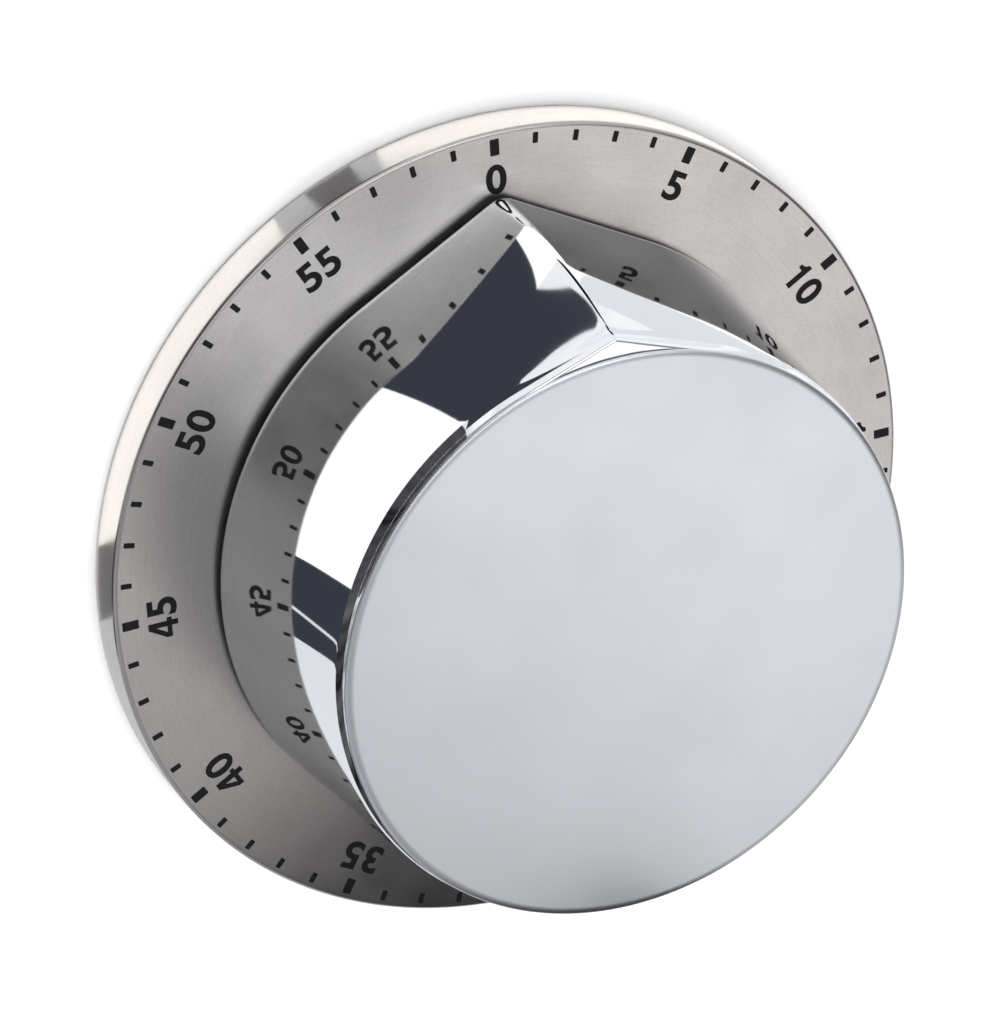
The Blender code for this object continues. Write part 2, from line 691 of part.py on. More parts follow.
def make_train(steel, brass):
    half_leaf = 180 / LEAVES
    second_axis = make_axis("second_axis", SECOND)
    make_arbor("second_arbor", steel, second_axis, MAIN_MODULE, (17.3, 18.7),
               bearing(SECOND, MAIN) + half_leaf)
    make_train_wheel("second_wheel", brass, second_axis, SECOND_TEETH, SECOND_MODULE,
                     SECOND_WHEEL_Z, bearing(SECOND, THIRD))
    third_axis = make_axis("third_axis", THIRD)
    make_arbor("third_arbor", steel, third_axis, SECOND_MODULE, (18.7, 19.8),
               bearing(THIRD, SECOND) + half_leaf)
    make_train_wheel("third_wheel", brass, third_axis, THIRD_TEETH, THIRD_MODULE,
                     THIRD_WHEEL_Z, bearing(THIRD, ESCAPE))
    escape_axis = make_axis("escape_axis", ESCAPE)
    make_arbor("escape_arbor", steel, escape_axis, THIRD_MODULE, (15.2, 16.3),
               bearing(ESCAPE, THIRD) + half_leaf)
    make_escape_wheel(brass, escape_axis)


# Escapement --------------------------------------------------------------------------------

def make_escape_wheel(brass, axis):
    """Fifteen raked, pointed teeth."""
    pitch = 360 / ESCAPE_TEETH
    outline = []
    for tooth in range(ESCAPE_TEETH):
        start = tooth * pitch
        outline += [polar(ESCAPE_ROOT, start), polar(ESCAPE_TIP, start + 0.34 * pitch),
                    polar(ESCAPE_TIP, start + 0.44 * pitch)]
    hole = circle(ARBOR_RADIUS + RUN, 12)
    place("escape_wheel", extruded("escape_wheel", [outline, hole], ESCAPE_Z), brass, axis=axis)


def anchor_outline():
    """Anchor drawn about the escape wheel, which lies at the origin, with the staff on +X."""
    tip_half = 3.5
    back, belly, hub = STAFF_DISTANCE + 0.5, STAFF_DISTANCE - 0.7, 1.4
    ends = PALLET_SPAN + tip_half
    near = PALLET_SPAN - tip_half
    outline = [polar(PALLET_RADIUS, -ends)]
    outline += [polar(back, angle) for angle in (-ends, -38, -24, -12)]
    outline += [polar(STAFF_DISTANCE + hub, angle) for angle in (-7, 7)]
    outline += [polar(back, angle) for angle in (12, 24, 38, ends)]
    outline += [polar(PALLET_RADIUS, ends), polar(PALLET_RADIUS, near)]
    outline += [polar(belly, angle) for angle in (near, 32, 18)]
    outline += [polar(STAFF_DISTANCE - hub, angle) for angle in (9, -9)]
    outline += [polar(belly, angle) for angle in (-18, -32, -near)]
    outline.append(polar(PALLET_RADIUS, -near))
    return [(x - STAFF_DISTANCE, y) for x, y in outline]


def make_balance(steel, brass):
    axis = make_axis("balance_axis", STAFF)
    place("balance_staff", turned("balance_staff", arbor_profile(), 12), steel, axis=axis)
    hole = circle(ARBOR_RADIUS + RUN, 12)
    anchor = extruded("pallet_anchor", [anchor_outline(), hole], ESCAPE_Z)
    place("pallet_anchor", anchor, steel, angle=bearing(ESCAPE, STAFF), axis=axis)
    rim = [circle(BALANCE_RADIUS, 32), hole] + window_loops(1.8, BALANCE_RADIUS - 1.2, 2, 1.4, 8)
    place("balance_wheel", extruded("balance_wheel", rim, BALANCE_Z), brass, axis=axis)


# Alarm -------------------------------------------------------------------------------------

def from_hammer(point):
    return (point[0] - HAMMER[0], point[1] - HAMMER[1])


def make_hammer(steel, brass):
    """Arbor with the lever that feels the cam and the arm that strikes the bell."""
    axis = make_axis("hammer_axis", HAMMER)
    arbor = rods("hammer_arbor", HAMMER_ARBOR_RADIUS, (8.8, 23.3), [(0, 0)], 12)
    place("hammer_arbor", arbor, steel, axis=axis)
    hole = circle(HAMMER_ARBOR_RADIUS + RUN, 12)
    tip_ring = CAM_RADIUS + GAP + LEVER_TIP_RADIUS
    tip = from_hammer(polar(tip_ring, LEVER_TIP_ANGLE))
    lever = extruded("trigger_lever", [bar_outline((0, 0), tip, 1.8, LEVER_TIP_RADIUS), hole], CAM_Z)
    place("trigger_lever", lever, steel, axis=axis)
    head_at = from_hammer(polar(HAMMER_HEAD_RING, HAMMER_HEAD_ANGLE))
    rivet_hole = circle(0.6, 10, head_at)
    arm_loops = [bar_outline((0, 0), head_at, 1.7, 1.2), hole, rivet_hole]
    place("hammer_arm", extruded("hammer_arm", arm_loops, HAMMER_ARM_Z), steel, axis=axis)
    make_hammer_head(brass, axis, head_at)


def make_hammer_head(brass, axis, centre):
    """Striker with a rivet through the arm."""
    low, high = HAMMER_ARM_Z
    profile = [(0, 8.4), (1.5, 8.4), (1.5, low - RUN), (0.5, low - RUN), (0.5, high + RUN),
               (1.0, high + RUN), (1.0, high + 0.5), (0, high + 0.5)]
    head = place("hammer_head", turned("hammer_head", profile, 14), brass, axis=axis)
    head.location = (centre[0] * MM, centre[1] * MM, 0)


def make_timer():
    chrome = make_material("polished_chrome", (0.80, 0.81, 0.83), 0.06, 1.0)
    satin = make_material("satin_face", (0.72, 0.75, 0.78), 0.35, 1.0)
    brushed = make_material("brushed_steel", (0.62, 0.60, 0.57), 0.32, 1.0)
    black = make_material("black_plastic", (0.02, 0.02, 0.022), 0.45, 0.0)
    charcoal = make_material("charcoal_plastic", (0.035, 0.035, 0.038), 0.5, 0.0)
    rubber = make_material("foot_rubber", (0.03, 0.03, 0.03), 0.85, 0.0)
    ferrite = make_material("ferrite", (0.08, 0.08, 0.085), 0.6, 0.3)
    zinc = make_material("zinc_plate", (0.66, 0.67, 0.70), 0.3, 1.0)
    brass = make_material("brass", (0.72, 0.55, 0.26), 0.3, 1.0)
    steel = make_material("cut_steel", (0.55, 0.56, 0.58), 0.25, 1.0)
    bell_steel = make_material("bell_steel", (0.60, 0.60, 0.62), 0.2, 1.0)
    spring_steel = make_material("spring_steel", (0.30, 0.32, 0.38), 0.25, 1.0)

    clear_scene()
    make_dial_plate(brushed)
    make_rear_cover(black)
    make_foot_ring(rubber)
    make_magnets(ferrite)
    make_case_screws(zinc)
    make_movement_case(charcoal)
    make_case_lid(charcoal)
    make_bell(bell_steel)
    make_bell_screw(zinc)
    make_plates(brass)
    make_pillars(brass, zinc)
    make_mainspring(spring_steel)
    make_spring_post(steel)

    knob_axis = make_axis("knob_axis", MAIN)
    make_knob_shell(chrome, knob_axis)
    make_knob_face(satin, knob_axis)
    make_knob_hub(brass, knob_axis)
    make_main_arbor(steel, knob_axis)
    make_knob_screw(zinc, knob_axis)
    make_main_wheel(brass, knob_axis)
    make_clutch(spring_steel, knob_axis)
    make_alarm_cam(brass, knob_axis)

    make_train(steel, brass)
    make_balance(steel, brass)
    make_hammer(steel, brass)


make_timer()
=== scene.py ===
"""Looks for a mechanical 60 minute kitchen timer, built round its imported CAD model.

It makes a finer dial pan with printed minutes, a finer polished knob with a satin cap, a ribbed
foot ring and cross head screws, gives every other part a finish of its own, and sets up a pale
studio. Lengths are metres, taken from the model or written in millimetres times MM. Angles are
degrees, anticlockwise from +X seen from above. +Y points to the zero mark.
"""

import json
import math

import bmesh
import bpy
from mathutils import Matrix, Vector


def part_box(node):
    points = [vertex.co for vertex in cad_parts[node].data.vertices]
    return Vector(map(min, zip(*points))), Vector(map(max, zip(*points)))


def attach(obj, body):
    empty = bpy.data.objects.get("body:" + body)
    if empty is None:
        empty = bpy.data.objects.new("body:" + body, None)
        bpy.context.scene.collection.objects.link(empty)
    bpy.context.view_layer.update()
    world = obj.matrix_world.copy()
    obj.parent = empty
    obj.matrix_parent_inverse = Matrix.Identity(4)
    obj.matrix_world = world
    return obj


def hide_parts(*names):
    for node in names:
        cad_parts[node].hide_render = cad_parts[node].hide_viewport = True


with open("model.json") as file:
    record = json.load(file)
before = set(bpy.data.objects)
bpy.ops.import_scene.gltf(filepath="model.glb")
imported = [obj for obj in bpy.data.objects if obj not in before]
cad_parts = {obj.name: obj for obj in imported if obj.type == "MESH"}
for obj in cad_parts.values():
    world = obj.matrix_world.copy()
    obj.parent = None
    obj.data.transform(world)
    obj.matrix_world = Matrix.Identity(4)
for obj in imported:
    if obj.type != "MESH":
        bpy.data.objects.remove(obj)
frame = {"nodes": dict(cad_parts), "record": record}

bl_info = {
    "name": "Kitchen timer looks",
    "version": (1, 0, 0),
    "blender": (4, 5, 0),
    "location": "View3D > Sidebar > Kitchen timer",
    "description": "Fine meshes, finishes and studio for a steel kitchen timer",
    "category": "Object",
}

MM = 0.001
CLEARANCE = 0.3 * MM     # between pieces that rest on each other
MINUTES = 60
LABEL_STEP = 5           # minutes between two numerals
FULL_TURN = 360.0
SMOOTH_ANGLE = 40.0      # edges that turn by more than this stay crisp
FACE_WEIGHT = 90         # how much large faces lead in the even shading
SCREWS = (1, 2, 3)       # in the underside

DIAL_LOW, DIAL_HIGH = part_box("dial_plate")
SHELL_LOW, SHELL_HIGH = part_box("knob_shell")
FACE_LOW, FACE_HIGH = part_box("knob_face")
SEAT = FACE_LOW.z - CLEARANCE   # floor of the recess that takes the cap
CEILING = SEAT - 1.0 * MM       # underside of the knob's top


# Settings ------------------

def setting(name, description, default, **limits):
    return bpy.props.FloatProperty(name=name, description=description, default=default, **limits)


def length_setting(*about):
    return setting(*about, min=0.0, precision=5, unit="LENGTH")


def share_setting(*about):
    return setting(*about, min=0.0, max=1.0, subtype="FACTOR")


def amount_setting(*about):
    return setting(*about, min=0.0)


def angle_setting(name, description, degrees):
    return setting(name, description, math.radians(degrees), subtype="ANGLE")


def colour_setting(name, description, default):
    return bpy.props.FloatVectorProperty(name=name, description=description, default=default,
                                         size=3, min=0.0, max=1.0, subtype="COLOR")


class TimerDialSettings(bpy.types.PropertyGroup):
    sheet: length_setting("Sheet", "Thickness of the steel", 0.7 * MM)
    edge_rounding: length_setting(
        "Edge rounding", "Radius where the dial turns down into its skirt", 0.45 * MM)
    bore: length_setting("Bore", "Radius of the hole under the knob", 12.0 * MM)
    tick_margin: length_setting("Tick margin", "From the ticks to the dial's edge", 0.72 * MM)
    minute_length: length_setting("Minute tick length", "Length of a minute tick", 1.05 * MM)
    minute_width: length_setting("Minute tick width", "Width of a minute tick", 0.52 * MM)
    label_length: length_setting("Main tick length", "Length of a five minute tick", 1.6 * MM)
    label_width: length_setting("Main tick width", "Width of a five minute tick", 0.9 * MM)
    numeral_height: length_setting("Numeral height", "Height of the printed numerals", 2.9 * MM)
    numeral_margin: length_setting(
        "Numeral margin", "From the numerals to the dial's edge", 3.2 * MM)
    print_depth: length_setting("Print depth", "Thickness of the printed ink", 0.02 * MM)
    steel: colour_setting("Steel", "Colour of the dial's steel", (0.54, 0.52, 0.51))
    steel_roughness: share_setting("Steel roughness", "Roughness of the dial's satin", 0.31)
    ink: colour_setting("Ink", "Colour of the printed minutes", (0.004, 0.004, 0.005))


class TimerKnobSettings(bpy.types.PropertyGroup):
    top_radius: length_setting("Top radius", "Radius of the wall below its shoulder", 28.08 * MM)
    shoulder: length_setting("Shoulder", "Height of the rounding over the wall", 1.5 * MM)
    shoulder_width: length_setting("Shoulder width", "How far that rounding draws in", 0.55 * MM)
    wall: length_setting("Wall", "Thickness of the knob's wall", 1.3 * MM)
    nose: length_setting("Pointer edge", "Radius of the pointer's edge at its top", 0.34 * MM)
    nose_growth: length_setting("Pointer edge growth", "How much blunter it is at the foot", 1.9 * MM)
    lean: length_setting("Pointer lean", "How far the crest draws in by the top", 4.6 * MM)
    lean_power: amount_setting("Lean power", "How late the crest draws in", 2.2)
    rim_width: length_setting("Rim width", "How far the cap covers the rim", 0.42 * MM)
    seam: length_setting("Seam", "Gap between the cap and the rim", 0.13 * MM)
    cap_rounding: length_setting("Cap rounding", "Width of the cap's rounded edge", 0.8 * MM)
    cap_crown: length_setting("Cap crown", "How far the cap's middle stands up", 0.12 * MM)
    chrome: colour_setting("Chrome", "Colour of the polished knob", (0.84, 0.85, 0.87))
    chrome_roughness: share_setting("Chrome roughness", "Roughness of the polish", 0.035)
    satin: colour_setting("Satin", "Colour of the cap", (0.74, 0.76, 0.80))
    satin_roughness: share_setting("Satin roughness", "Roughness of the cap", 0.36)


class TimerUndersideSettings(bpy.types.PropertyGroup):
    rib_count: bpy.props.IntProperty(
        name="Ribs", description="Round ribs on the rubber foot ring", default=3, min=1)
    rib_depth: length_setting("Rib depth", "Depth of the grooves between the ribs", 0.25 * MM)
    rubber: colour_setting("Rubber", "Colour of the foot ring", (0.022, 0.022, 0.023))
    recess_width: length_setting("Recess width", "Width of a screw's cross recess", 0.55 * MM)
    recess_depth: length_setting("Recess depth", "Depth of a screw's cross recess", 0.5 * MM)


class TimerStageSettings(bpy.types.PropertyGroup):
    camera_azimuth: angle_setting("Camera azimuth", "Direction of the camera", 127.13)
    camera_elevation: angle_setting("Camera elevation", "Height of the camera", 54.87)
    camera_roll: angle_setting("Camera roll", "Turn of the camera about its view", 133.9)
    camera_distance: length_setting("Camera distance", "Distance to the timer", 489.2 * MM)
    lens: amount_setting("Lens", "Focal length in millimetres", 190.0)
    floor: colour_setting("Floor", "Colour of the floor", (0.93, 0.93, 0.93))
    dome: amount_setting("Dome", "Brightness of the studio all round", 0.38)
    wash: amount_setting("Wash", "Brightness of the overhead light", 2.6)


# Outlines ------------------

def polar(radius, angle):
    turn = math.radians(angle)
    return (radius * math.cos(turn), radius * math.sin(turn))


def arc(corner, before, after, rounding, steps):
    """Points of the arc that rounds one corner between two neighbours."""
    here = Vector(corner)
    back = (Vector(before) - here).normalized()
    on = (Vector(after) - here).normalized()
    half = back.angle(on) / 2
    centre = here + (back + on).normalized() * (rounding / math.sin(half))
    reach = rounding / math.tan(half)
    start = (here + back * reach - centre).normalized()
    end = (here + on * reach - centre).normalized()
    return [tuple(centre + start.slerp(end, step / steps) * rounding) for step in range(steps + 1)]


def rounded(corners, steps=6):
    """Closed outline whose corners (x, y, rounding) become arcs where the rounding isn't 0."""
    points = []
    for index, (x, y, rounding) in enumerate(corners):
        if rounding:
            before = corners[index - 1][:2]
            after = corners[(index + 1) % len(corners)][:2]
            points += arc((x, y), before, after, rounding, steps)
        else:
            points.append((x, y))
    return points


def rounded_box(left, right, foot, top, rounding):
    corners = [(left, foot), (right, foot), (right, top), (left, top)]
    return rounded([(x, y, rounding) for x, y in corners], 3)


# Meshes ------------------

def smoothed(shape, name):
    """Mesh from a bmesh, with smooth faces and crisp edges where it turns sharply."""
    bmesh.ops.recalc_face_normals(shape, faces=shape.faces)
    mesh = bpy.data.meshes.new(name)
    shape.to_mesh(mesh)
    shape.free()
    mesh.shade_smooth()
    mesh.set_sharp_from_angle(angle=math.radians(SMOOTH_ANGLE))
    return mesh


def lofted(name, rings, closed=False):
    """Skin over rings of equal counts. A ring of one point is a tip; closed joins the last ring
    to the first, as in a tube bent round on itself."""
    shape = bmesh.new()
    loops = [[shape.verts.new(point) for point in ring] for ring in rings]
    pairs = list(zip(loops, loops[1:]))
    if closed:
        pairs.append((loops[-1], loops[0]))
    for one, other in pairs:
        for index in range(max(len(one), len(other))):
            edge = [one[0]] if len(one) == 1 else [one[index - 1], one[index]]
            far_edge = [other[0]] if len(other) == 1 else [other[index], other[index - 1]]
            shape.faces.new(edge + far_edge)
    return smoothed(shape, name)


def turned(name, profile, steps):
    """Solid of revolution. The profile closes on itself, or starts and ends on the axis."""
    rings = []
    for radius, height in profile:
        count = steps if radius > 0 else 1
        rings.append([(*polar(radius, FULL_TURN * step / steps), height) for step in range(count)])
    return lofted(name, rings, closed=profile[0][0] > 0)


def extruded(name, loops, heights):
    """Flat outline, with the loops after the first as holes, given a thickness."""
    shape = bmesh.new()
    low, high = heights
    for loop in loops:
        points = [shape.verts.new((x, y, low)) for x, y in loop]
        for index, point in enumerate(points):
            shape.edges.new((points[index - 1], point))
    bmesh.ops.triangle_fill(shape, use_beauty=True, edges=shape.edges, normal=(0, 0, 1))
    grown = bmesh.ops.extrude_face_region(shape, geom=shape.faces[:])
    lifted = [item for item in grown["geom"] if isinstance(item, bmesh.types.BMVert)]
    bmesh.ops.translate(shape, verts=lifted, vec=(0, 0, high - low))
    return smoothed(shape, name)


def gathered(name, placed):
    """One mesh from many (mesh, matrix) pairs."""
    shape = bmesh.new()
    for mesh, matrix in placed:
        copy = mesh.copy()
        copy.transform(matrix)
        shape.from_mesh(copy)
        bpy.data.meshes.remove(copy)
    return smoothed(shape, name)


def new_object(name, data):
    made = bpy.data.objects.new(name, data)
    bpy.context.scene.collection.objects.link(made)
    return made


def to_axis(node):
    """Move from the origin to the upright axis through the middle of a node."""
    low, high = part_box(node)
    return Matrix.Translation(((low.x + high.x) / 2, (low.y + high.y) / 2, 0))


def cut(mesh, tool):
    """The mesh with another closed mesh taken out of it."""
    pair = [new_object("cutting", part) for part in (mesh, tool)]
    step = pair[0].modifiers.new("cut", "BOOLEAN")
    step.operation = "DIFFERENCE"
    step.solver = "EXACT"
    step.object = pair[1]
    depsgraph = bpy.context.evaluated_depsgraph_get()
    result = bpy.data.meshes.new_from_object(pair[0].evaluated_get(depsgraph))
    for holder in pair:
        bpy.data.objects.remove(holder)
    result.set_sharp_from_angle(angle=math.radians(SMOOTH_ANGLE))
    return result


def add_piece(name, mesh, material, body, replaced=()):
    """Put a piece in the scene, with the body it rides on and the CAD nodes it stands for."""
    mesh.materials.clear()
    mesh.materials.append(material)
    piece = new_object(name, mesh)
    evener = piece.modifiers.new("even_shading", "WEIGHTED_NORMAL")
    evener.keep_sharp = True
    evener.weight = FACE_WEIGHT
    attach(piece, body)
    if replaced:
        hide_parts(*replaced)
    return piece


# Finishes ------------------

def new_finish(name, colour, roughness, metallic=0.0):
    finish = bpy.data.materials.new(name)
    finish.use_nodes = True
    shader = finish.node_tree.nodes["Principled BSDF"]
    shader.inputs["Base Color"].default_value = (*colour, 1.0)
    shader.inputs["Roughness"].default_value = roughness
    shader.inputs["Metallic"].default_value = metallic
    return finish


def add_node(finish, kind, settings=None, values=None):
    node = finish.node_tree.nodes.new(kind)
    for name, value in (settings or {}).items():
        setattr(node, name, value)
    for name, value in (values or {}).items():
        node.inputs[name].default_value = value
    return node


def join(finish, source, target):
    finish.node_tree.links.new(source, target)


def calculated(finish, operation, first, second):
    """A Math node of a socket or number with another."""
    node = add_node(finish, "ShaderNodeMath", {"operation": operation})
    for socket, value in zip(node.inputs, (first, second)):
        if isinstance(value, (int, float)):
            socket.default_value = value
        else:
            join(finish, value, socket)
    return node.outputs["Value"]


def straight_marks(finish, size, detail=3.0, rough=0.6):
    """Noise whose spots measure size along X, Y and Z; unequal sizes draw it out into lines."""
    place = add_node(finish, "ShaderNodeTexCoord")
    scaling = add_node(finish, "ShaderNodeMapping", values={"Scale": [1 / part for part in size]})
    noise = add_node(finish, "ShaderNodeTexNoise",
                     values={"Scale": 1.0, "Detail": detail, "Roughness": rough})
    join(finish, place.outputs["Object"], scaling.inputs["Vector"])
    join(finish, scaling.outputs["Vector"], noise.inputs["Vector"])
    return noise.outputs["Fac"]


def spots(finish, size, detail=3.0, rough=0.6):
    """Noise whose spots are as wide one way as another."""
    return straight_marks(finish, (size,) * 3, detail, rough)


def round_marks(finish, across, turns):
    """Noise drawn out round the origin's upright axis, as a lathe leaves it: lines this far
    apart, and this many changes along each line."""
    tiny = 1e-10         # keeps the radius above zero on the axis
    place = add_node(finish, "ShaderNodeTexCoord")
    split = add_node(finish, "ShaderNodeSeparateXYZ")
    join(finish, place.outputs["Object"], split.inputs["Vector"])
    x, y, z = (split.outputs[axis] for axis in "XYZ")
    square = calculated(finish, "ADD", calculated(finish, "MULTIPLY", x, x),
                        calculated(finish, "MULTIPLY", y, y))
    radius = calculated(finish, "SQRT", calculated(finish, "ADD", square, tiny), 0)
    around = add_node(finish, "ShaderNodeCombineXYZ")
    for axis, value in zip("XY", (x, y)):
        share = calculated(finish, "DIVIDE", value, radius)
        join(finish, calculated(finish, "MULTIPLY", share, turns), around.inputs[axis])
    join(finish, calculated(finish, "DIVIDE", radius, across), around.inputs["Z"])
    noise = add_node(finish, "ShaderNodeTexNoise", {"noise_dimensions": "4D"},
                     {"Scale": 1.0, "Detail": 2.0, "Roughness": 0.6})
    join(finish, around.outputs["Vector"], noise.inputs["Vector"])
    join(finish, calculated(finish, "DIVIDE", z, across), noise.inputs["W"])
    return noise.outputs["Fac"]


def blended(finish, one, other, share):
    """The sum of two noises, the first by 1 - share and the second by share."""
    return calculated(finish, "ADD", calculated(finish, "MULTIPLY", one, 1 - share),
                      calculated(finish, "MULTIPLY", other, share))


def colour_ramp(finish, noise, dark, light, span):
    """A colour that runs from dark to light while the noise crosses the span."""
    ramp = add_node(finish, "ShaderNodeValToRGB")
    for element, place, colour in zip(ramp.color_ramp.elements, span, (dark, light)):
        element.position = place
        element.color = (*colour, 1.0)
    join(finish, noise, ramp.inputs["Fac"])
    return ramp.outputs["Color"]


def drive(finish, source, name):
    """Join a socket to an input of the finish's shader."""
    join(finish, source, finish.node_tree.nodes["Principled BSDF"].inputs[name])


def tinted(finish, noise, dark, light, span=(0.3, 0.7)):
    """Colour of the surface, from dark to light with the noise."""
    drive(finish, colour_ramp(finish, noise, dark, light, span), "Base Color")


def roughened(finish, noise, low, high):
    """Roughness of the surface, from low to high with the noise."""
    spread = add_node(finish, "ShaderNodeMapRange", values={
        "From Min": 0.3, "From Max": 0.7, "To Min": low, "To Max": high})
    join(finish, noise, spread.inputs["Value"])
    drive(finish, spread.outputs["Result"], "Roughness")


def embossed(finish, noise, depth):
    """Fine relief of the surface."""
    bump = add_node(finish, "ShaderNodeBump", values={"Strength": 1.0, "Distance": depth})
    join(finish, noise, bump.inputs["Height"])
    drive(finish, bump.outputs["Normal"], "Normal")


def scaled(colour, share):
    """The colour made darker or lighter."""
    return tuple(min(1.0, part * share) for part in colour)


def dial_steel(dial):
    """Satin steel: a fine even grain with faint marks round the centre."""
    finish = new_finish("dial_steel", dial.steel, dial.steel_roughness, 1.0)
    grain = spots(finish, 0.16 * MM, detail=4.0, rough=0.7)
    rounds = round_marks(finish, 0.09 * MM, 9.0)
    marks = blended(finish, grain, rounds, 0.35)
    tinted(finish, marks, scaled(dial.steel, 0.88), scaled(dial.steel, 1.1), (0.35, 0.65))
    roughened(finish, spots(finish, 6 * MM),
              dial.steel_roughness - 0.03, dial.steel_roughness + 0.04)
    embossed(finish, marks, 0.004 * MM)
    return finish


def dial_ink(dial):
    """Screen printed ink: nearly black, with a faint mottle and a soft sheen."""
    finish = new_finish("dial_ink", dial.ink, 0.45)
    finish.node_tree.nodes["Principled BSDF"].inputs["Specular IOR Level"].default_value = 0.15
    mottle = spots(finish, 0.12 * MM, detail=4.0)
    tinted(finish, mottle, dial.ink, scaled(dial.ink, 2.2))
    roughened(finish, mottle, 0.38, 0.55)
    embossed(finish, mottle, 0.003 * MM)
    return finish


def knob_chrome(knob):
    """Mirror polish: a slight swell of the cast wall and faint marks of the polishing wheel."""
    finish = new_finish("knob_chrome", knob.chrome, knob.chrome_roughness, 1.0)
    swell = straight_marks(finish, (7 * MM, 7 * MM, 11 * MM), detail=1.0)
    wheel = straight_marks(finish, (2.5 * MM, 2.5 * MM, 0.05 * MM))
    tinted(finish, swell, scaled(knob.chrome, 0.985), scaled(knob.chrome, 1.01))
    roughened(finish, blended(finish, wheel, swell, 0.4),
              knob.chrome_roughness * 0.7, knob.chrome_roughness * 1.6)
    embossed(finish, blended(finish, swell, wheel, 0.02), 0.012 * MM)
    return finish


def knob_satin(knob):
    """Finely blasted cap with a silky, even grain."""
    finish = new_finish("knob_satin", knob.satin, knob.satin_roughness, 1.0)
    grain = spots(finish, 0.11 * MM, rough=0.65)
    cloud = spots(finish, 9 * MM, detail=2.0)
    tinted(finish, blended(finish, grain, cloud, 0.3),
           scaled(knob.satin, 0.96), scaled(knob.satin, 1.035))
    roughened(finish, cloud, knob.satin_roughness - 0.02, knob.satin_roughness + 0.03)
    embossed(finish, grain, 0.002 * MM)
    return finish


def foot_rubber(underside):
    """Moulded rubber with a matt skin and a little dust in it."""
    finish = new_finish("foot_rubber", underside.rubber, 0.85)
    skin = spots(finish, 0.2 * MM, detail=5.0)
    dust = spots(finish, 4 * MM, detail=5.0)
    tinted(finish, dust, underside.rubber, scaled(underside.rubber, 1.9), (0.4, 0.8))
    roughened(finish, skin, 0.74, 0.92)
    embossed(finish, skin, 0.015 * MM)
    return finish


def moulded_plastic(name, colour, grain):
    """Spark textured moulding: a pebbled skin of this grain and slight flow clouds."""
    finish = new_finish(name, colour, 0.5)
    pebbles = spots(finish, grain, detail=2.0, rough=0.5)
    flow = straight_marks(finish, (9 * MM, 5 * MM, 5 * MM))
    tinted(finish, blended(finish, flow, pebbles, 0.3), scaled(colour, 0.8), scaled(colour, 1.3))
    roughened(finish, pebbles, 0.42, 0.6)
    embossed(finish, pebbles, grain * 0.12)
    return finish


def brushed_metal(name, colour, roughness, marks_size, depth):
    """Metal with straight marks, longer one way than the other."""
    finish = new_finish(name, colour, roughness, 1.0)
    marks = straight_marks(finish, marks_size, detail=4.0)
    tone = spots(finish, 3 * MM, detail=2.0)
    tinted(finish, blended(finish, marks, tone, 0.5), scaled(colour, 0.82), scaled(colour, 1.1))
    roughened(finish, marks, roughness * 0.75, roughness * 1.4)
    embossed(finish, marks, depth)
    return finish


def bell_steel():
    """Bright pressed steel, with the drawing marks of the press round its axis."""
    colour = (0.62, 0.62, 0.64)
    finish = new_finish("bell_steel", colour, 0.2, 1.0)
    marks = round_marks(finish, 0.12 * MM, 6.0)
    tinted(finish, marks, scaled(colour, 0.88), scaled(colour, 1.08))
    roughened(finish, marks, 0.14, 0.27)
    embossed(finish, marks, 0.002 * MM)
    return finish


def spring_steel():
    """Blued steel strip: the blue shifts to straw in places."""
    finish = new_finish("spring_steel", (0.12, 0.16, 0.30), 0.25, 1.0)
    bluing = straight_marks(finish, (5 * MM, 5 * MM, 9 * MM), detail=2.0)
    tinted(finish, bluing, (0.07, 0.11, 0.27), (0.34, 0.27, 0.22), (0.4, 0.75))
    rolling = straight_marks(finish, (4 * MM, 4 * MM, 0.05 * MM))
    roughened(finish, rolling, 0.18, 0.32)
    embossed(finish, rolling, 0.002 * MM)
    return finish


def ferrite():
    """Ground ceramic magnet: dark grey, with fine grinding marks and bright grains."""
    finish = new_finish("ferrite", (0.07, 0.07, 0.075), 0.5, 0.35)
    grains = spots(finish, 0.15 * MM, detail=5.0, rough=0.8)
    grinding = straight_marks(finish, (6 * MM, 0.08 * MM, 0.08 * MM))
    tinted(finish, grains, (0.045, 0.045, 0.05), (0.16, 0.16, 0.17), (0.45, 0.8))
    roughened(finish, grinding, 0.38, 0.62)
    embossed(finish, blended(finish, grains, grinding, 0.5), 0.006 * MM)
    return finish


def zinc_plate():
    """Bright zinc with a faint warm and cool bloom."""
    finish = new_finish("zinc_plate", (0.66, 0.67, 0.70), 0.3, 1.0)
    bloom = spots(finish, 0.9 * MM)
    crystals = spots(finish, 0.08 * MM, detail=4.0)
    tinted(finish, bloom, (0.60, 0.62, 0.69), (0.74, 0.71, 0.66), (0.35, 0.7))
    roughened(finish, crystals, 0.22, 0.4)
    embossed(finish, crystals, 0.003 * MM)
    return finish


# A colour and the size of the grain
PLASTICS = {
    "cover_plastic": ((0.022, 0.022, 0.024), 0.28 * MM),
    # The case is nearly black: partly the plastic's own colour, partly painted shade that keeps the
    # gap under the knob dark
    "case_plastic": ((0.035, 0.035, 0.038), 0.18 * MM),
}
# A colour, a roughness, the size of the marks along X, Y and Z, and their depth
BRUSHED_METALS = {
    "clock_brass": ((0.72, 0.53, 0.24), 0.3, (2.4 * MM, 0.05 * MM, 0.05 * MM), 0.003 * MM),
    "arbor_steel": ((0.55, 0.56, 0.58), 0.24, (1.5 * MM, 1.5 * MM, 0.03 * MM), 0.002 * MM),
}


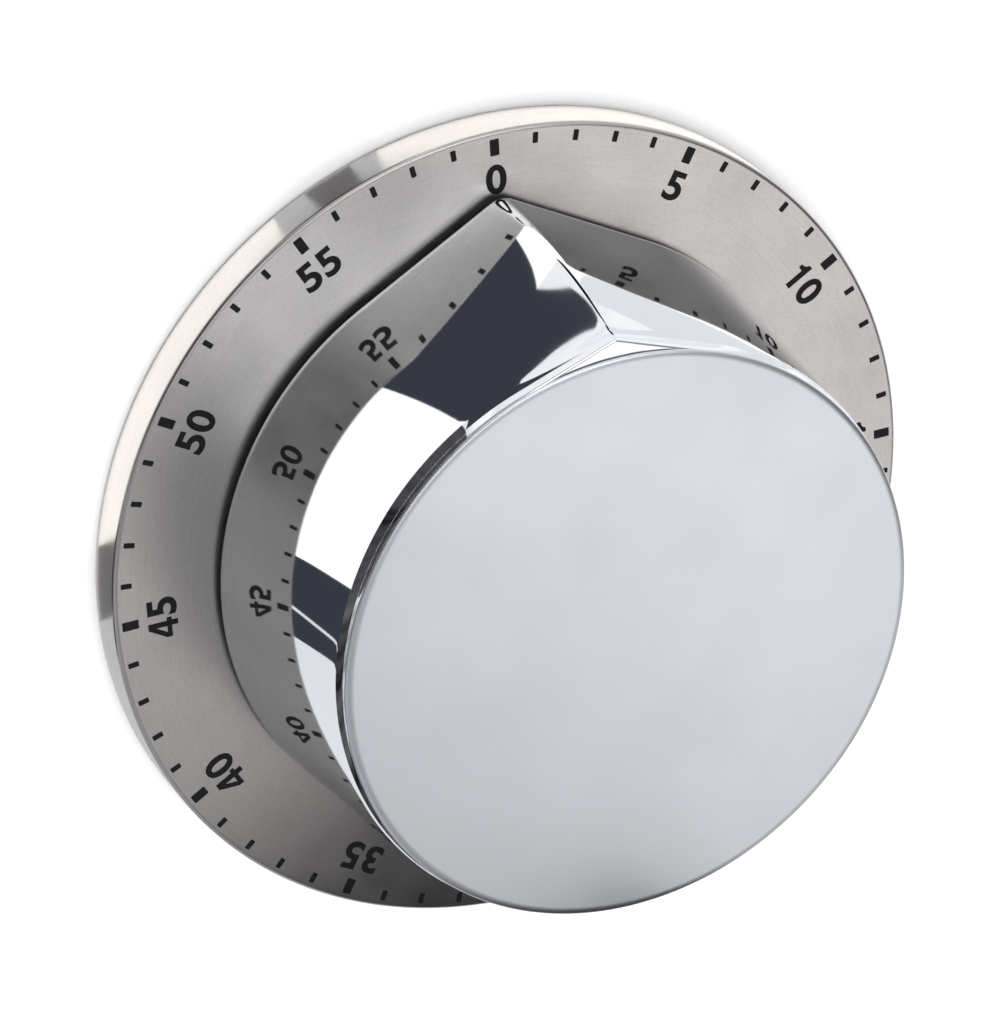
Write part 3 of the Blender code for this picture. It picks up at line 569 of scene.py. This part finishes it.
def carried_finishes():
    """Finishes of the parts that keep their CAD shape, by material slot."""
    finishes = {name: moulded_plastic(name, *values) for name, values in PLASTICS.items()}
    for name, values in BRUSHED_METALS.items():
        finishes[name] = brushed_metal(name, *values)
    for make in (bell_steel, spring_steel, ferrite, zinc_plate):
        finishes[make.__name__] = make()
    return finishes


# Dial ------------------

DIAL_SEGMENTS = 288
HOLE_SEGMENTS = 24


def make_dial_pan(dial):
    """Round sheet turned down at its edge, with holes for the three screws from below."""
    outer, top, foot = DIAL_HIGH.x, DIAL_HIGH.z, DIAL_LOW.z
    inner = outer - dial.sheet
    fold = dial.edge_rounding
    burr = 0.1 * MM
    flat = 6 * MM        # width of the outermost ring of faces on the flat top
    screw_hole = 1.4 * MM
    profile = rounded([
        (dial.bore, top, burr), (outer - flat, top, 0), (outer, top, fold),
        (outer, foot, burr), (inner, foot, burr), (inner, top - dial.sheet, fold / 2),
        (dial.bore, top - dial.sheet, burr),
    ])
    pan = turned("dial_pan", profile, DIAL_SEGMENTS)
    below, above = top - 2 * dial.sheet, top + dial.sheet
    drill = turned("hole", [(0, below), (screw_hole, below), (screw_hole, above), (0, above)],
                   HOLE_SEGMENTS)
    holes = [(drill, to_axis(f"case_screw_{index}")) for index in SCREWS]
    return cut(pan, gathered("holes", holes))


def tick_mesh(length, width, dial):
    """One printed tick, lying along +Y with its outer end at the tick margin."""
    outer = DIAL_HIGH.x - dial.tick_margin
    outline = rounded_box(-width / 2, width / 2, outer - length, outer, 0.08 * MM)
    heights = (DIAL_HIGH.z - dial.print_depth, DIAL_HIGH.z + dial.print_depth)
    return extruded("tick", [outline], heights)


def at_minute(minute):
    return Matrix.Rotation(-math.radians(FULL_TURN * minute / MINUTES), 4, "Z")


def make_dial_ticks(dial):
    minute_tick = tick_mesh(dial.minute_length, dial.minute_width, dial)
    label_tick = tick_mesh(dial.label_length, dial.label_width, dial)
    placed = [(minute_tick if minute % LABEL_STEP else label_tick, at_minute(minute))
              for minute in range(MINUTES)]
    return gathered("dial_ticks", placed)


# Digits are drawn one unit high and one unit thick, centred on x = 0.
DIGIT_PITCH = 0.76       # between the centres of two digits
DIGIT_WIDTH = 1.07       # the built-in font's digits are widened by this
FONT_WEIGHT = 0.028      # and thickened by this
FONT_STEPS = 8           # points in each curve of the outline
ONE_OUTLINE = [(-0.04, 0.0), (0.16, 0.0), (0.16, 1.0), (0.02, 1.0), (-0.03, 0.9), (-0.12, 0.84),
               (-0.22, 0.82), (-0.22, 0.68), (-0.04, 0.68)]
FOUR_OUTLINE = [(0.05, 0.0), (0.24, 0.0), (0.24, 0.21), (0.35, 0.21), (0.35, 0.37),
                (0.24, 0.37), (0.24, 1.0), (0.02, 1.0), (-0.34, 0.4), (-0.34, 0.21), (0.05, 0.21)]
FOUR_COUNTER = [(0.05, 0.37), (0.05, 0.73), (-0.165, 0.37)]


def font_digit(digit):
    """A digit of the built-in font, thickened and widened to a bold weight."""
    curve = bpy.data.curves.new("digit", "FONT")
    curve.body = digit
    curve.offset = FONT_WEIGHT
    curve.extrude = 0.5
    curve.resolution_u = FONT_STEPS
    holder = new_object("digit", curve)
    depsgraph = bpy.context.evaluated_depsgraph_get()
    mesh = bpy.data.meshes.new_from_object(holder.evaluated_get(depsgraph))
    bpy.data.objects.remove(holder)
    xs, ys, zs = zip(*(point.co for point in mesh.vertices))
    height = max(ys) - min(ys)
    middle = Vector(((min(xs) + max(xs)) / 2, min(ys), (min(zs) + max(zs)) / 2))
    mesh.transform(Matrix.Translation(-middle))
    mesh.transform(Matrix.Diagonal((DIGIT_WIDTH / height, 1 / height, 1, 1)))
    return mesh


def digit_mesh(digit):
    """One digit; 1 and 4 have outlines of their own."""
    loops = {"1": [ONE_OUTLINE], "4": [FOUR_OUTLINE, FOUR_COUNTER]}.get(digit)
    return extruded("digit", loops, (-0.5, 0.5)) if loops else font_digit(digit)


def make_dial_numerals(dial):
    """Numerals every five minutes, their tops outward."""
    digits = {digit: digit_mesh(digit) for digit in "012345"}
    height = dial.numeral_height
    foot = DIAL_HIGH.x - dial.numeral_margin - height
    size = Matrix.Diagonal((height, height, 2 * dial.print_depth, 1))
    placed = []
    for minute in range(0, MINUTES, LABEL_STEP):
        label = str(minute)
        for index, digit in enumerate(label):
            x = (index - (len(label) - 1) / 2) * DIGIT_PITCH * height
            move = Matrix.Translation((x, foot, DIAL_HIGH.z))
            placed.append((digits[digit], at_minute(minute) @ move @ size))
    return gathered("dial_numerals", placed)


# Knob ------------------

WALL_STEPS = 300         # points round the wall
FLANK_STEPS = 24         # along each flank of the pointer
NOSE_STEPS = 12          # round the pointer's edge
LEVELS = 40              # rings up the outside
QUARTER_STEPS = 12       # points of a rounding


def between(start, end, steps):
    """Points on the straight line between two, without its ends."""
    return [(start[0] + (end[0] - start[0]) * step / steps,
             start[1] + (end[1] - start[1]) * step / steps) for step in range(1, steps)]


def quarter(radius, height, width, rise):
    """Quarter of an ellipse in profile: straight up at first, level at its end."""
    turns = [math.radians(90 * step / QUARTER_STEPS) for step in range(QUARTER_STEPS + 1)]
    return [(radius - width * (1 - math.cos(turn)), height + rise * math.sin(turn))
            for turn in turns]


def pointer_outline(radius, reach, nose):
    """Circle that runs out along two tangents to a blunt nose on +Y."""
    side = math.degrees(math.acos((radius - nose) / (reach - nose)))
    sweep = FULL_TURN - 2 * side
    wall = [polar(radius, 90 + side + sweep * step / WALL_STEPS) for step in range(WALL_STEPS + 1)]
    tip = [polar(nose, 90 - side + 2 * side * step / NOSE_STEPS) for step in range(NOSE_STEPS + 1)]
    tip = [(x, y + reach - nose) for x, y in tip]
    return (wall + between(wall[-1], tip[0], FLANK_STEPS) + tip
            + between(tip[-1], wall[0], FLANK_STEPS))


class KnobForm:
    """The knob's outside: how far its wall and its pointer reach at a height."""

    def __init__(self, knob):
        self.foot, self.top = SHELL_LOW.z, SHELL_HIGH.z
        self.wall_top = self.top - knob.shoulder
        self.foot_radius, self.top_radius = -SHELL_LOW.y, knob.top_radius
        self.reach, self.lean, self.power = SHELL_HIGH.y, knob.lean, knob.lean_power
        self.nose, self.nose_growth = knob.nose, knob.nose_growth

    def radius(self, height):
        rise = (height - self.foot) / (self.wall_top - self.foot)
        return self.foot_radius + (self.top_radius - self.foot_radius) * rise

    def crest(self, height):
        rise = (height - self.foot) / (self.top - self.foot)
        return self.reach - self.lean * rise ** self.power

    def ring(self, radius, height):
        """Ring of the outside. The shoulder keeps the outline of the wall's top, drawn in."""
        level = min(height, self.wall_top)
        prow = self.crest(level) - self.radius(level)
        fall = (self.wall_top - level) / (self.wall_top - self.foot)
        nose = self.nose + self.nose_growth * fall ** 2
        return [(x, y, height) for x, y in pointer_outline(radius, radius + prow, nose)]


def round_ring(outline, radius, height):
    """Ring of a circle whose points stand in the same directions as those of an outline."""
    return [(*polar(radius, math.degrees(math.atan2(y, x))), height) for x, y, _ in outline]


def knob_rings(knob):
    """Rings of the whole skin: the cap's seat, the rim, the outside, the inside, the boss."""
    form = KnobForm(knob)
    seat_radius = FACE_HIGH.x - knob.rim_width
    base = form.ring(form.foot_radius, form.foot)
    rings = [round_ring(base, seat_radius, SEAT), round_ring(base, seat_radius, form.top)]
    foot_round = 0.12 * MM
    start, end = form.wall_top, form.foot + foot_round
    shoulder = quarter(0, start, knob.shoulder_width, knob.shoulder)[::-1]
    outside = [(form.radius(height) + inward, height) for inward, height in shoulder]
    for level in range(1, LEVELS + 1):
        height = start + (end - start) * level / LEVELS
        outside.append((form.radius(height), height))
    eased = 0.3 * foot_round
    outside.append((form.foot_radius - eased, form.foot + eased))
    outside.append((form.foot_radius - foot_round, form.foot))
    rings += [form.ring(radius, height) for radius, height in outside]
    rings += [round_ring(base, radius, height) for radius, height in inside_profile(knob, form)]
    return rings


def inside_profile(knob, form):
    """Wall, ceiling, boss, bore for the hub, screw hole and counterbore, from the foot up."""
    hub_low, hub_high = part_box("knob_hub")
    screw_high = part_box("knob_screw")[1]
    bore = hub_high.y + CLEARANCE
    boss_wall, boss_drop = 1.2 * MM, 0.1 * MM
    boss, boss_foot = bore + boss_wall, hub_low.z - boss_drop
    screw_hole, counterbore = 1.1 * MM, screw_high.x + CLEARANCE
    return [
        (form.radius(form.foot) - knob.wall, form.foot),
        (form.radius(CEILING) - knob.wall, CEILING),
        (boss, CEILING), (boss, boss_foot), (bore, boss_foot),
        (bore, hub_high.z + CLEARANCE), (screw_hole, hub_high.z + CLEARANCE),
        (screw_hole, CEILING), (counterbore, CEILING), (counterbore, SEAT),
    ]


def make_stop_rib():
    """Rib under the knob's ceiling that meets the post on the lid at either end of the turn."""
    radius, length, width, azimuth = 25.0 * MM, 2.4 * MM, 1.0 * MM, 267.0
    over_lid, bond = 2.3 * MM, 0.4 * MM
    outline = rounded_box(radius - length / 2, radius + length / 2, -width / 2, width / 2, 0.15 * MM)
    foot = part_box("case_lid")[0].z + over_lid
    rib = extruded("knob_stop_rib", [outline], (foot, CEILING + bond))
    rib.transform(Matrix.Rotation(math.radians(azimuth), 4, "Z"))
    return rib


def make_knob_cap(knob):
    """Slightly crowned disc with a soft edge that covers the rim over a fine seam."""
    radius, low, top = FACE_HIGH.x, FACE_LOW.z, FACE_HIGH.z
    play, burr = 0.1 * MM, 0.04 * MM
    plug, flange = radius - knob.rim_width - play, SHELL_HIGH.z + knob.seam
    edge = top - knob.cap_crown
    profile = [(0, low), (plug, low), (plug, flange), (radius - burr, flange)]
    profile += quarter(radius, flange + burr, knob.cap_rounding, edge - flange - burr)
    start, crown_rings = radius - knob.cap_rounding, 24
    for step in range(1, crown_rings):
        r = start * (1 - step / crown_rings)
        profile.append((r, edge + knob.cap_crown * (1 - (r / start) ** 2)))
    return turned("knob_cap", profile + [(0, top)], DIAL_SEGMENTS)


# Underside ------------------

RING_SEGMENTS = 160
SCREW_SEGMENTS = 32
RIB_STEPS = 16           # points across one rib


def make_foot_ring(underside):
    """Rubber ring with rounded ribs on its tread."""
    low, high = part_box("foot_ring")
    outer, top = high.x, high.z
    width, bluntness, soft = 3.4 * MM, 0.6, 0.2 * MM
    inner = outer - width
    tread, steps = [], RIB_STEPS * underside.rib_count
    for step in range(steps + 1):
        share = step / steps
        wave = math.sin(math.pi * underside.rib_count * share)
        groove = underside.rib_depth * (1 - abs(wave) ** bluntness)
        tread.append((inner + width * share, low.z + groove))
    crown = arc((outer, top), (outer, low.z), (inner, top), soft, 4)
    crown += arc((inner, top), (outer, top), (inner, low.z), soft, 4)
    return turned("foot_tread", tread + crown, RING_SEGMENTS)


def cross_recess(width, reach, heights):
    """Plus shaped cutter."""
    half = width / 2
    outline = [(half, half), (half, reach), (-half, reach), (-half, half), (-reach, half),
               (-reach, -half), (-half, -half), (-half, -reach), (half, -reach), (half, -half),
               (reach, -half), (reach, half)]
    return extruded("cross", [outline], heights)


def make_case_screw(node, underside):
    """Pan head screw that points up, with a cross recess in its head."""
    low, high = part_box(node)
    head, shank, recess_share = (high.x - low.x) / 2, 1.0 * MM, 0.58
    head_height, head_rounding, plain, point = 0.9 * MM, 0.45 * MM, 0.5 * MM, 0.3 * MM
    shoulder = low.z + head_height
    profile = [(0, low.z)]
    profile += arc((head, low.z), (0, low.z), (head, shoulder), head_rounding, 6)
    profile += [(head, shoulder), (shank, shoulder)]
    pitch, depth, overlap = 0.45 * MM, 0.16 * MM, 0.2 * MM
    for turn in range(int((high.z - shoulder - plain - point) / pitch)):
        at = shoulder + plain + turn * pitch
        profile += [(shank, at), (shank - depth, at + pitch / 2)]
    profile += [(shank, high.z - point), (shank - point, high.z), (0, high.z)]
    body = turned(node, profile, SCREW_SEGMENTS)
    heights = (low.z - overlap, low.z + underside.recess_depth)
    screw = cut(body, cross_recess(underside.recess_width, head * recess_share, heights))
    screw.transform(to_axis(node))
    return screw


# Studio ------------------

def glow(name, colour):
    """Evenly lit panel, for reflections."""
    finish = bpy.data.materials.new(name)
    finish.use_nodes = True
    tree = finish.node_tree
    tree.nodes.remove(tree.nodes["Principled BSDF"])
    light = add_node(finish, "ShaderNodeEmission", values={"Color": (*colour, 1.0), "Strength": 1.0})
    join(finish, light.outputs["Emission"], tree.nodes["Material Output"].inputs["Surface"])
    return finish


def streaked_glow(name, dark, light):
    """Panel lit in soft upright streaks."""
    finish = glow(name, light)
    place = add_node(finish, "ShaderNodeTexCoord")
    flat = add_node(finish, "ShaderNodeVectorMath", {"operation": "MULTIPLY"})
    flat.inputs[1].default_value = (1, 1, 0)
    unit = add_node(finish, "ShaderNodeVectorMath", {"operation": "NORMALIZE"})
    circle = 6.3         # length round a circle of radius 1
    noise = add_node(finish, "ShaderNodeTexNoise",
                     values={"Scale": STREAKS / circle, "Detail": 3.0, "Roughness": 0.55})
    join(finish, place.outputs["Object"], flat.inputs[0])
    join(finish, flat.outputs["Vector"], unit.inputs[0])
    join(finish, unit.outputs["Vector"], noise.inputs["Vector"])
    colour = colour_ramp(finish, noise.outputs["Fac"], dark, light, STREAK_SPAN)
    join(finish, colour, finish.node_tree.nodes["Emission"].inputs["Color"])
    return finish


def add_stage_piece(name, mesh, material, reflection_only=False):
    """Put a piece of the studio in the scene. Some are there only for metal to reflect."""
    mesh.materials.append(material)
    piece = new_object(name, mesh)
    if reflection_only:
        piece.visible_camera = False
        piece.visible_diffuse = False
        piece.visible_shadow = False
        piece.visible_transmission = False
    return piece


def sector(name, azimuths, radii, heights, far_azimuths=None, step=2.0):
    """Strip round the timer between two azimuths, from one radius and height to another. The
    far edge can run between azimuths of its own."""
    spans = (azimuths, far_azimuths or azimuths)
    count = max(1, round((azimuths[1] - azimuths[0]) / step))
    shape = bmesh.new()
    rows = []
    for (start, end), radius, height in zip(spans, radii, heights):
        places = [polar(radius, start + (end - start) * index / count) for index in range(count + 1)]
        rows.append([shape.verts.new((x, y, height)) for x, y in places])
    for index in range(count):
        shape.faces.new((rows[0][index], rows[0][index + 1], rows[1][index + 1], rows[1][index]))
    mesh = bpy.data.meshes.new(name)
    shape.to_mesh(mesh)
    shape.free()
    return mesh


NAVY = (0.045, 0.047, 0.062)
COAL = (0.015, 0.015, 0.018)
DIM = (0.14, 0.14, 0.15)
DUSK = (0.26, 0.26, 0.26)
CREAM = (1.8, 1.78, 1.7)
WHITE = (1.25, 1.25, 1.25)
PALE = (0.85, 0.87, 0.9)
LIGHT = (0.86, 0.87, 0.91)

# Cards that lie round the timer for its polished sides to reflect: a name, a colour, and the
# azimuths of the near edge and of the far edge.
SKIRT_CARDS = [
    ("cream_rear", CREAM, (-20, 104), (-20, 104)),
    ("pale_rear", PALE, (104, 108), (102, 107)),
    ("dark_rear", DUSK, (108, 115), (107, 114)),
    ("pale_rear_end", PALE, (115, 120), (114, 121)),
    ("cream_left", CREAM, (120, 171), (121, 169)),
    ("dark_left", DUSK, (171, 182), (169, 181)),
    ("pale_left", PALE, (182, 340), (181, 340)),
]
WALL_CARDS = [
    ("navy_rear", NAVY, (97, 126), (101.5, 116)),
    ("white_left", WHITE, (126, 169.5), (116, 169.5)),
    ("navy_left", NAVY, (169.5, 181), (169.5, 186)),
    ("line_left", PALE, (181, 181.8), (186, 186.8)),
    ("navy_left_end", NAVY, (181.8, 188.5), (186.8, 191.5)),
    ("pale_front", PALE, (188.5, 335), (191.5, 335)),
    ("light_right", LIGHT, (-25, 60), (-25, 60)),
    ("white_rear", WHITE, (60, 97), (60, 101.5)),
]
FLANK_CARDS = [
    ("navy_far", NAVY, (101.5, 116), (97, 118)),
    ("dark_crest", COAL, (60, 92), (60, 88)),
]
CARD_RINGS = [
    ((40.3 * MM, 43.4 * MM), SKIRT_CARDS),
    ((43.4 * MM, 57 * MM), WALL_CARDS),
    ((57 * MM, 105 * MM), FLANK_CARDS),
]
CARD_LIFT = 0.06 * MM
# Mats under and beyond the cards, and upright screens beyond the mats: a name, two azimuths,
# a dark and a light colour, and for the screens a height.
MATS = [
    ("right", (-25, 60), LIGHT, WHITE),
    ("rear", (60, 118), LIGHT, WHITE),
    ("left", (118, 250), COAL, DIM),
    ("front", (250, 335), DUSK, WHITE),
]
SCREENS = [
    ("right", (-25, 25), COAL, DUSK, 1.1),
    ("rear", (25, 118), LIGHT, WHITE, 0.42),
    ("left", (118, 175), COAL, DIM, 2.0),
    ("limb", (175, 250), DUSK, LIGHT, 0.9),
    ("front", (250, 335), DUSK, WHITE, 0.42),
]
MAT_RING, SCREEN_RADIUS, MAT_LIFT = (57 * MM, 600 * MM), 0.9, 0.02 * MM
STREAKS = 40                            # in a turn round the timer
STREAK_SPAN = (0.38, 0.68)              # of the noise, from dark to light
FLOOR_DROP = 0.1 * MM                   # floor below the timer's lowest point
BACKDROP_RADIUS, BACKDROP_HEIGHT = 4.0, 3.0
AIM = Vector((-5.9, 7.7, 14.9)) * MM    # what the camera and the softboxes point at


def make_cards():
    for ring, cards in CARD_RINGS:
        for name, colour, azimuths, far_azimuths in cards:
            mesh = sector(name, azimuths, ring, (CARD_LIFT,) * 2, far_azimuths)
            add_stage_piece("card_" + name, mesh, glow("card_" + name, colour), True)
    for name, azimuths, dark, light in MATS:
        mesh = sector(name, azimuths, MAT_RING, (MAT_LIFT,) * 2)
        add_stage_piece("mat_" + name, mesh, streaked_glow("mat_" + name, dark, light), True)
    for name, azimuths, dark, light, height in SCREENS:
        mesh = sector(name, azimuths, (SCREEN_RADIUS,) * 2, (0, height))
        finish = streaked_glow("screen_" + name, dark, light)
        add_stage_piece("screen_" + name, mesh, finish, True)


def direction(azimuth, elevation):
    """Unit vector that points this way from the timer."""
    x, y = polar(math.cos(math.radians(elevation)), azimuth)
    return Vector((x, y, math.sin(math.radians(elevation))))


FLAG_AZIMUTH, FLAG_ELEVATION = 307, 55
FLAG_DISTANCE, FLAG_ACROSS, FLAG_DOWN, FLAG_SIZE = 66 * MM, -44 * MM, 29 * MM, 58 * MM


def make_flag():
    """Dark card close to the timer, whose reflection shades the dial on one side."""
    towards = direction(FLAG_AZIMUTH, FLAG_ELEVATION)
    across = Vector((*polar(1, FLAG_AZIMUTH + 90), 0))
    down = across.cross(towards)
    centre = towards * FLAG_DISTANCE + across * FLAG_ACROSS + down * FLAG_DOWN
    corners = [centre + across * x * FLAG_SIZE / 2 + down * y * FLAG_SIZE / 2
               for x, y in ((-1, -1), (1, -1), (1, 1), (-1, 1))]
    mesh = bpy.data.meshes.new("flag")
    mesh.from_pydata(corners, [], [(0, 1, 2, 3)])
    add_stage_piece("flag", mesh, glow("flag", COAL), True)


# A name, azimuth, elevation, distance, width and height in metres, watts and a colour
SOFTBOXES = [
    ("key", -38, 58, 0.5, 0.25, 0.35, 0.24, (1.0, 0.99, 0.98)),
    ("rear", 72, 50, 1.0, 0.62, 0.36, 1.6, (1.0, 1.0, 1.0)),
    ("top", 135, 66, 1.0, 0.6, 0.35, 0.8, (1.0, 1.0, 1.0)),
]


def make_softboxes():
    for name, azimuth, elevation, distance, width, height, power, colour in SOFTBOXES:
        light = bpy.data.lights.new("softbox_" + name, "AREA")
        light.shape = "RECTANGLE"
        light.size, light.size_y = width, height
        light.energy = power
        light.color = colour
        box = new_object("softbox_" + name, light)
        towards = direction(azimuth, elevation)
        box.location = AIM + towards * distance
        box.rotation_mode = "QUATERNION"
        box.rotation_quaternion = (-towards).to_track_quat("-Z", "Y")
        box.visible_camera = False


def make_wash(stage):
    """Broad overhead light for the floor and the dark parts, which metal doesn't reflect."""
    spread, tilt_x, tilt_y = 70, 12, -14
    light = bpy.data.lights.new("wash", "SUN")
    light.energy = stage.wash
    light.angle = math.radians(spread)
    wash = new_object("wash", light)
    wash.rotation_euler = (math.radians(tilt_x), math.radians(tilt_y), 0)
    wash.visible_glossy = False


def make_floor(stage):
    finish = new_finish("pale_floor", stage.floor, 0.6)
    cloud = spots(finish, 0.4, detail=2.0)
    tinted(finish, cloud, scaled(stage.floor, 0.985), scaled(stage.floor, 1.01))
    radii = (0.001 * MM, BACKDROP_RADIUS)
    mesh = sector("floor", (0, FULL_TURN), radii, (-FLOOR_DROP,) * 2, step=6.0)
    add_stage_piece("floor", mesh, finish)


def make_backdrop():
    """White wall behind the floor for low views. It neither lights the timer nor mirrors in it."""
    heights = (-FLOOR_DROP, BACKDROP_HEIGHT)
    mesh = sector("backdrop", (0, FULL_TURN), (BACKDROP_RADIUS,) * 2, heights, step=6.0)
    wall = add_stage_piece("backdrop", mesh, glow("backdrop", WHITE))
    wall.visible_diffuse = False
    wall.visible_glossy = False
    wall.visible_shadow = False


def make_dome(stage):
    world = bpy.data.worlds.new("studio")
    world.use_nodes = True
    sky = world.node_tree.nodes["Background"]
    sky.inputs["Color"].default_value = (0.985, 0.99, 1.0, 1.0)
    sky.inputs["Strength"].default_value = stage.dome
    bpy.context.scene.world = world
    bpy.context.scene.view_settings.view_transform = "Standard"


def make_camera(stage):
    data = bpy.data.cameras.new("camera")
    data.lens = stage.lens
    data.clip_start = 10 * MM
    camera = new_object("camera", data)
    towards = direction(math.degrees(stage.camera_azimuth), math.degrees(stage.camera_elevation))
    level = (-towards).to_track_quat("-Z", "Y").to_matrix()
    turn = (level @ Matrix.Rotation(stage.camera_roll, 3, "Z")).to_4x4()
    camera.matrix_world = Matrix.Translation(AIM + towards * stage.camera_distance) @ turn
    bpy.context.scene.camera = camera


# Operators ------------------

class TIMER_OT_dial_pan(bpy.types.Operator):
    """Make the steel dial pan"""
    bl_idname = "kitchen_timer.dial_pan"
    bl_label = "Dial pan"

    def execute(self, context):
        dial = context.scene.timer_dial
        add_piece("dial_pan", make_dial_pan(dial), dial_steel(dial), "base",
                  ["dial_plate"])
        return {"FINISHED"}


class TIMER_OT_dial_print(bpy.types.Operator):
    """Print the minute ticks and the numerals on the dial"""
    bl_idname = "kitchen_timer.dial_print"
    bl_label = "Dial print"

    def execute(self, context):
        dial = context.scene.timer_dial
        ink = dial_ink(dial)
        add_piece("dial_ticks", make_dial_ticks(dial), ink, "base")
        add_piece("dial_numerals", make_dial_numerals(dial), ink, "base")
        return {"FINISHED"}


class TIMER_OT_knob_body(bpy.types.Operator):
    """Make the polished knob with its pointer, and the rib that stops its turn"""
    bl_idname = "kitchen_timer.knob_body"
    bl_label = "Knob body"

    def execute(self, context):
        knob = context.scene.timer_knob
        chrome = knob_chrome(knob)
        body = lofted("knob_body", knob_rings(knob), closed=True)
        add_piece("knob_body", body, chrome, "knob", ["knob_shell"])
        add_piece("knob_stop_rib", make_stop_rib(), chrome, "knob")
        return {"FINISHED"}


class TIMER_OT_knob_cap(bpy.types.Operator):
    """Make the satin cap on the knob"""
    bl_idname = "kitchen_timer.knob_cap"
    bl_label = "Knob cap"

    def execute(self, context):
        knob = context.scene.timer_knob
        add_piece("knob_cap", make_knob_cap(knob), knob_satin(knob), "knob",
                  ["knob_face"])
        return {"FINISHED"}


class TIMER_OT_foot_ring(bpy.types.Operator):
    """Mould the ribbed rubber ring that the timer stands on"""
    bl_idname = "kitchen_timer.foot_ring"
    bl_label = "Foot ring"

    def execute(self, context):
        underside = context.scene.timer_underside
        add_piece("foot_tread", make_foot_ring(underside), foot_rubber(underside), "base",
                  ["foot_ring"])
        return {"FINISHED"}


class TIMER_OT_case_screws(bpy.types.Operator):
    """Make the three cross head screws in the underside"""
    bl_idname = "kitchen_timer.case_screws"
    bl_label = "Case screws"

    def execute(self, context):
        underside = context.scene.timer_underside
        zinc = zinc_plate()
        for index in SCREWS:
            node = f"case_screw_{index}"
            screw = make_case_screw(node, underside)
            add_piece(f"cross_screw_{index}", screw, zinc, "base", [node])
        return {"FINISHED"}


class TIMER_OT_carried_finishes(bpy.types.Operator):
    """Give every part that keeps its CAD shape the finish of its material slot"""
    bl_idname = "kitchen_timer.carried_finishes"
    bl_label = "Finishes of the other parts"

    def execute(self, context):
        finishes = carried_finishes()
        for row in frame["record"]["subparts"]:
            node = frame["nodes"][row["node"]]
            if not node.hide_render:
                node.data.materials.clear()
                node.data.materials.append(finishes[row["material_slot"]])
        return {"FINISHED"}


class TIMER_OT_stage(bpy.types.Operator):
    """Set up the floor, the lights, the cards for reflections and the camera"""
    bl_idname = "kitchen_timer.stage"
    bl_label = "Stage"

    def execute(self, context):
        stage = context.scene.timer_stage
        make_floor(stage)
        make_backdrop()
        make_cards()
        make_flag()
        make_softboxes()
        make_wash(stage)
        make_dome(stage)
        make_camera(stage)
        return {"FINISHED"}


class TIMER_PT_panel(bpy.types.Panel):
    bl_idname = "TIMER_PT_panel"
    bl_label = "Kitchen timer"
    bl_space_type = "VIEW_3D"
    bl_region_type = "UI"
    bl_category = "Kitchen timer"

    def draw(self, context):
        for group in SETTINGS:
            box = self.layout.box()
            settings = getattr(context.scene, group)
            for name in settings.__annotations__:
                box.prop(settings, name)
        for operator in OPERATORS:
            self.layout.operator(operator.bl_idname)


SETTINGS = {
    "timer_dial": TimerDialSettings,
    "timer_knob": TimerKnobSettings,
    "timer_underside": TimerUndersideSettings,
    "timer_stage": TimerStageSettings,
}
OPERATORS = [
    TIMER_OT_dial_pan, TIMER_OT_dial_print, TIMER_OT_knob_body, TIMER_OT_knob_cap,
    TIMER_OT_foot_ring, TIMER_OT_case_screws, TIMER_OT_carried_finishes, TIMER_OT_stage,
]


def register():
    for group, settings in SETTINGS.items():
        bpy.utils.register_class(settings)
        setattr(bpy.types.Scene, group, bpy.props.PointerProperty(type=settings))
    for operator in OPERATORS:
        bpy.utils.register_class(operator)
    bpy.utils.register_class(TIMER_PT_panel)


def unregister():
    bpy.utils.unregister_class(TIMER_PT_panel)
    for operator in reversed(OPERATORS):
        bpy.utils.unregister_class(operator)
    for group, settings in SETTINGS.items():
        delattr(bpy.types.Scene, group)
        bpy.utils.unregister_class(settings)


def main():
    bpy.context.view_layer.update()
    register()
    bpy.ops.kitchen_timer.dial_pan()
    bpy.ops.kitchen_timer.dial_print()
    bpy.ops.kitchen_timer.knob_body()
    bpy.ops.kitchen_timer.knob_cap()
    bpy.ops.kitchen_timer.foot_ring()
    bpy.ops.kitchen_timer.case_screws()
    bpy.ops.kitchen_timer.carried_finishes()
    bpy.ops.kitchen_timer.stage()


if __name__ == "__main__":
    main()
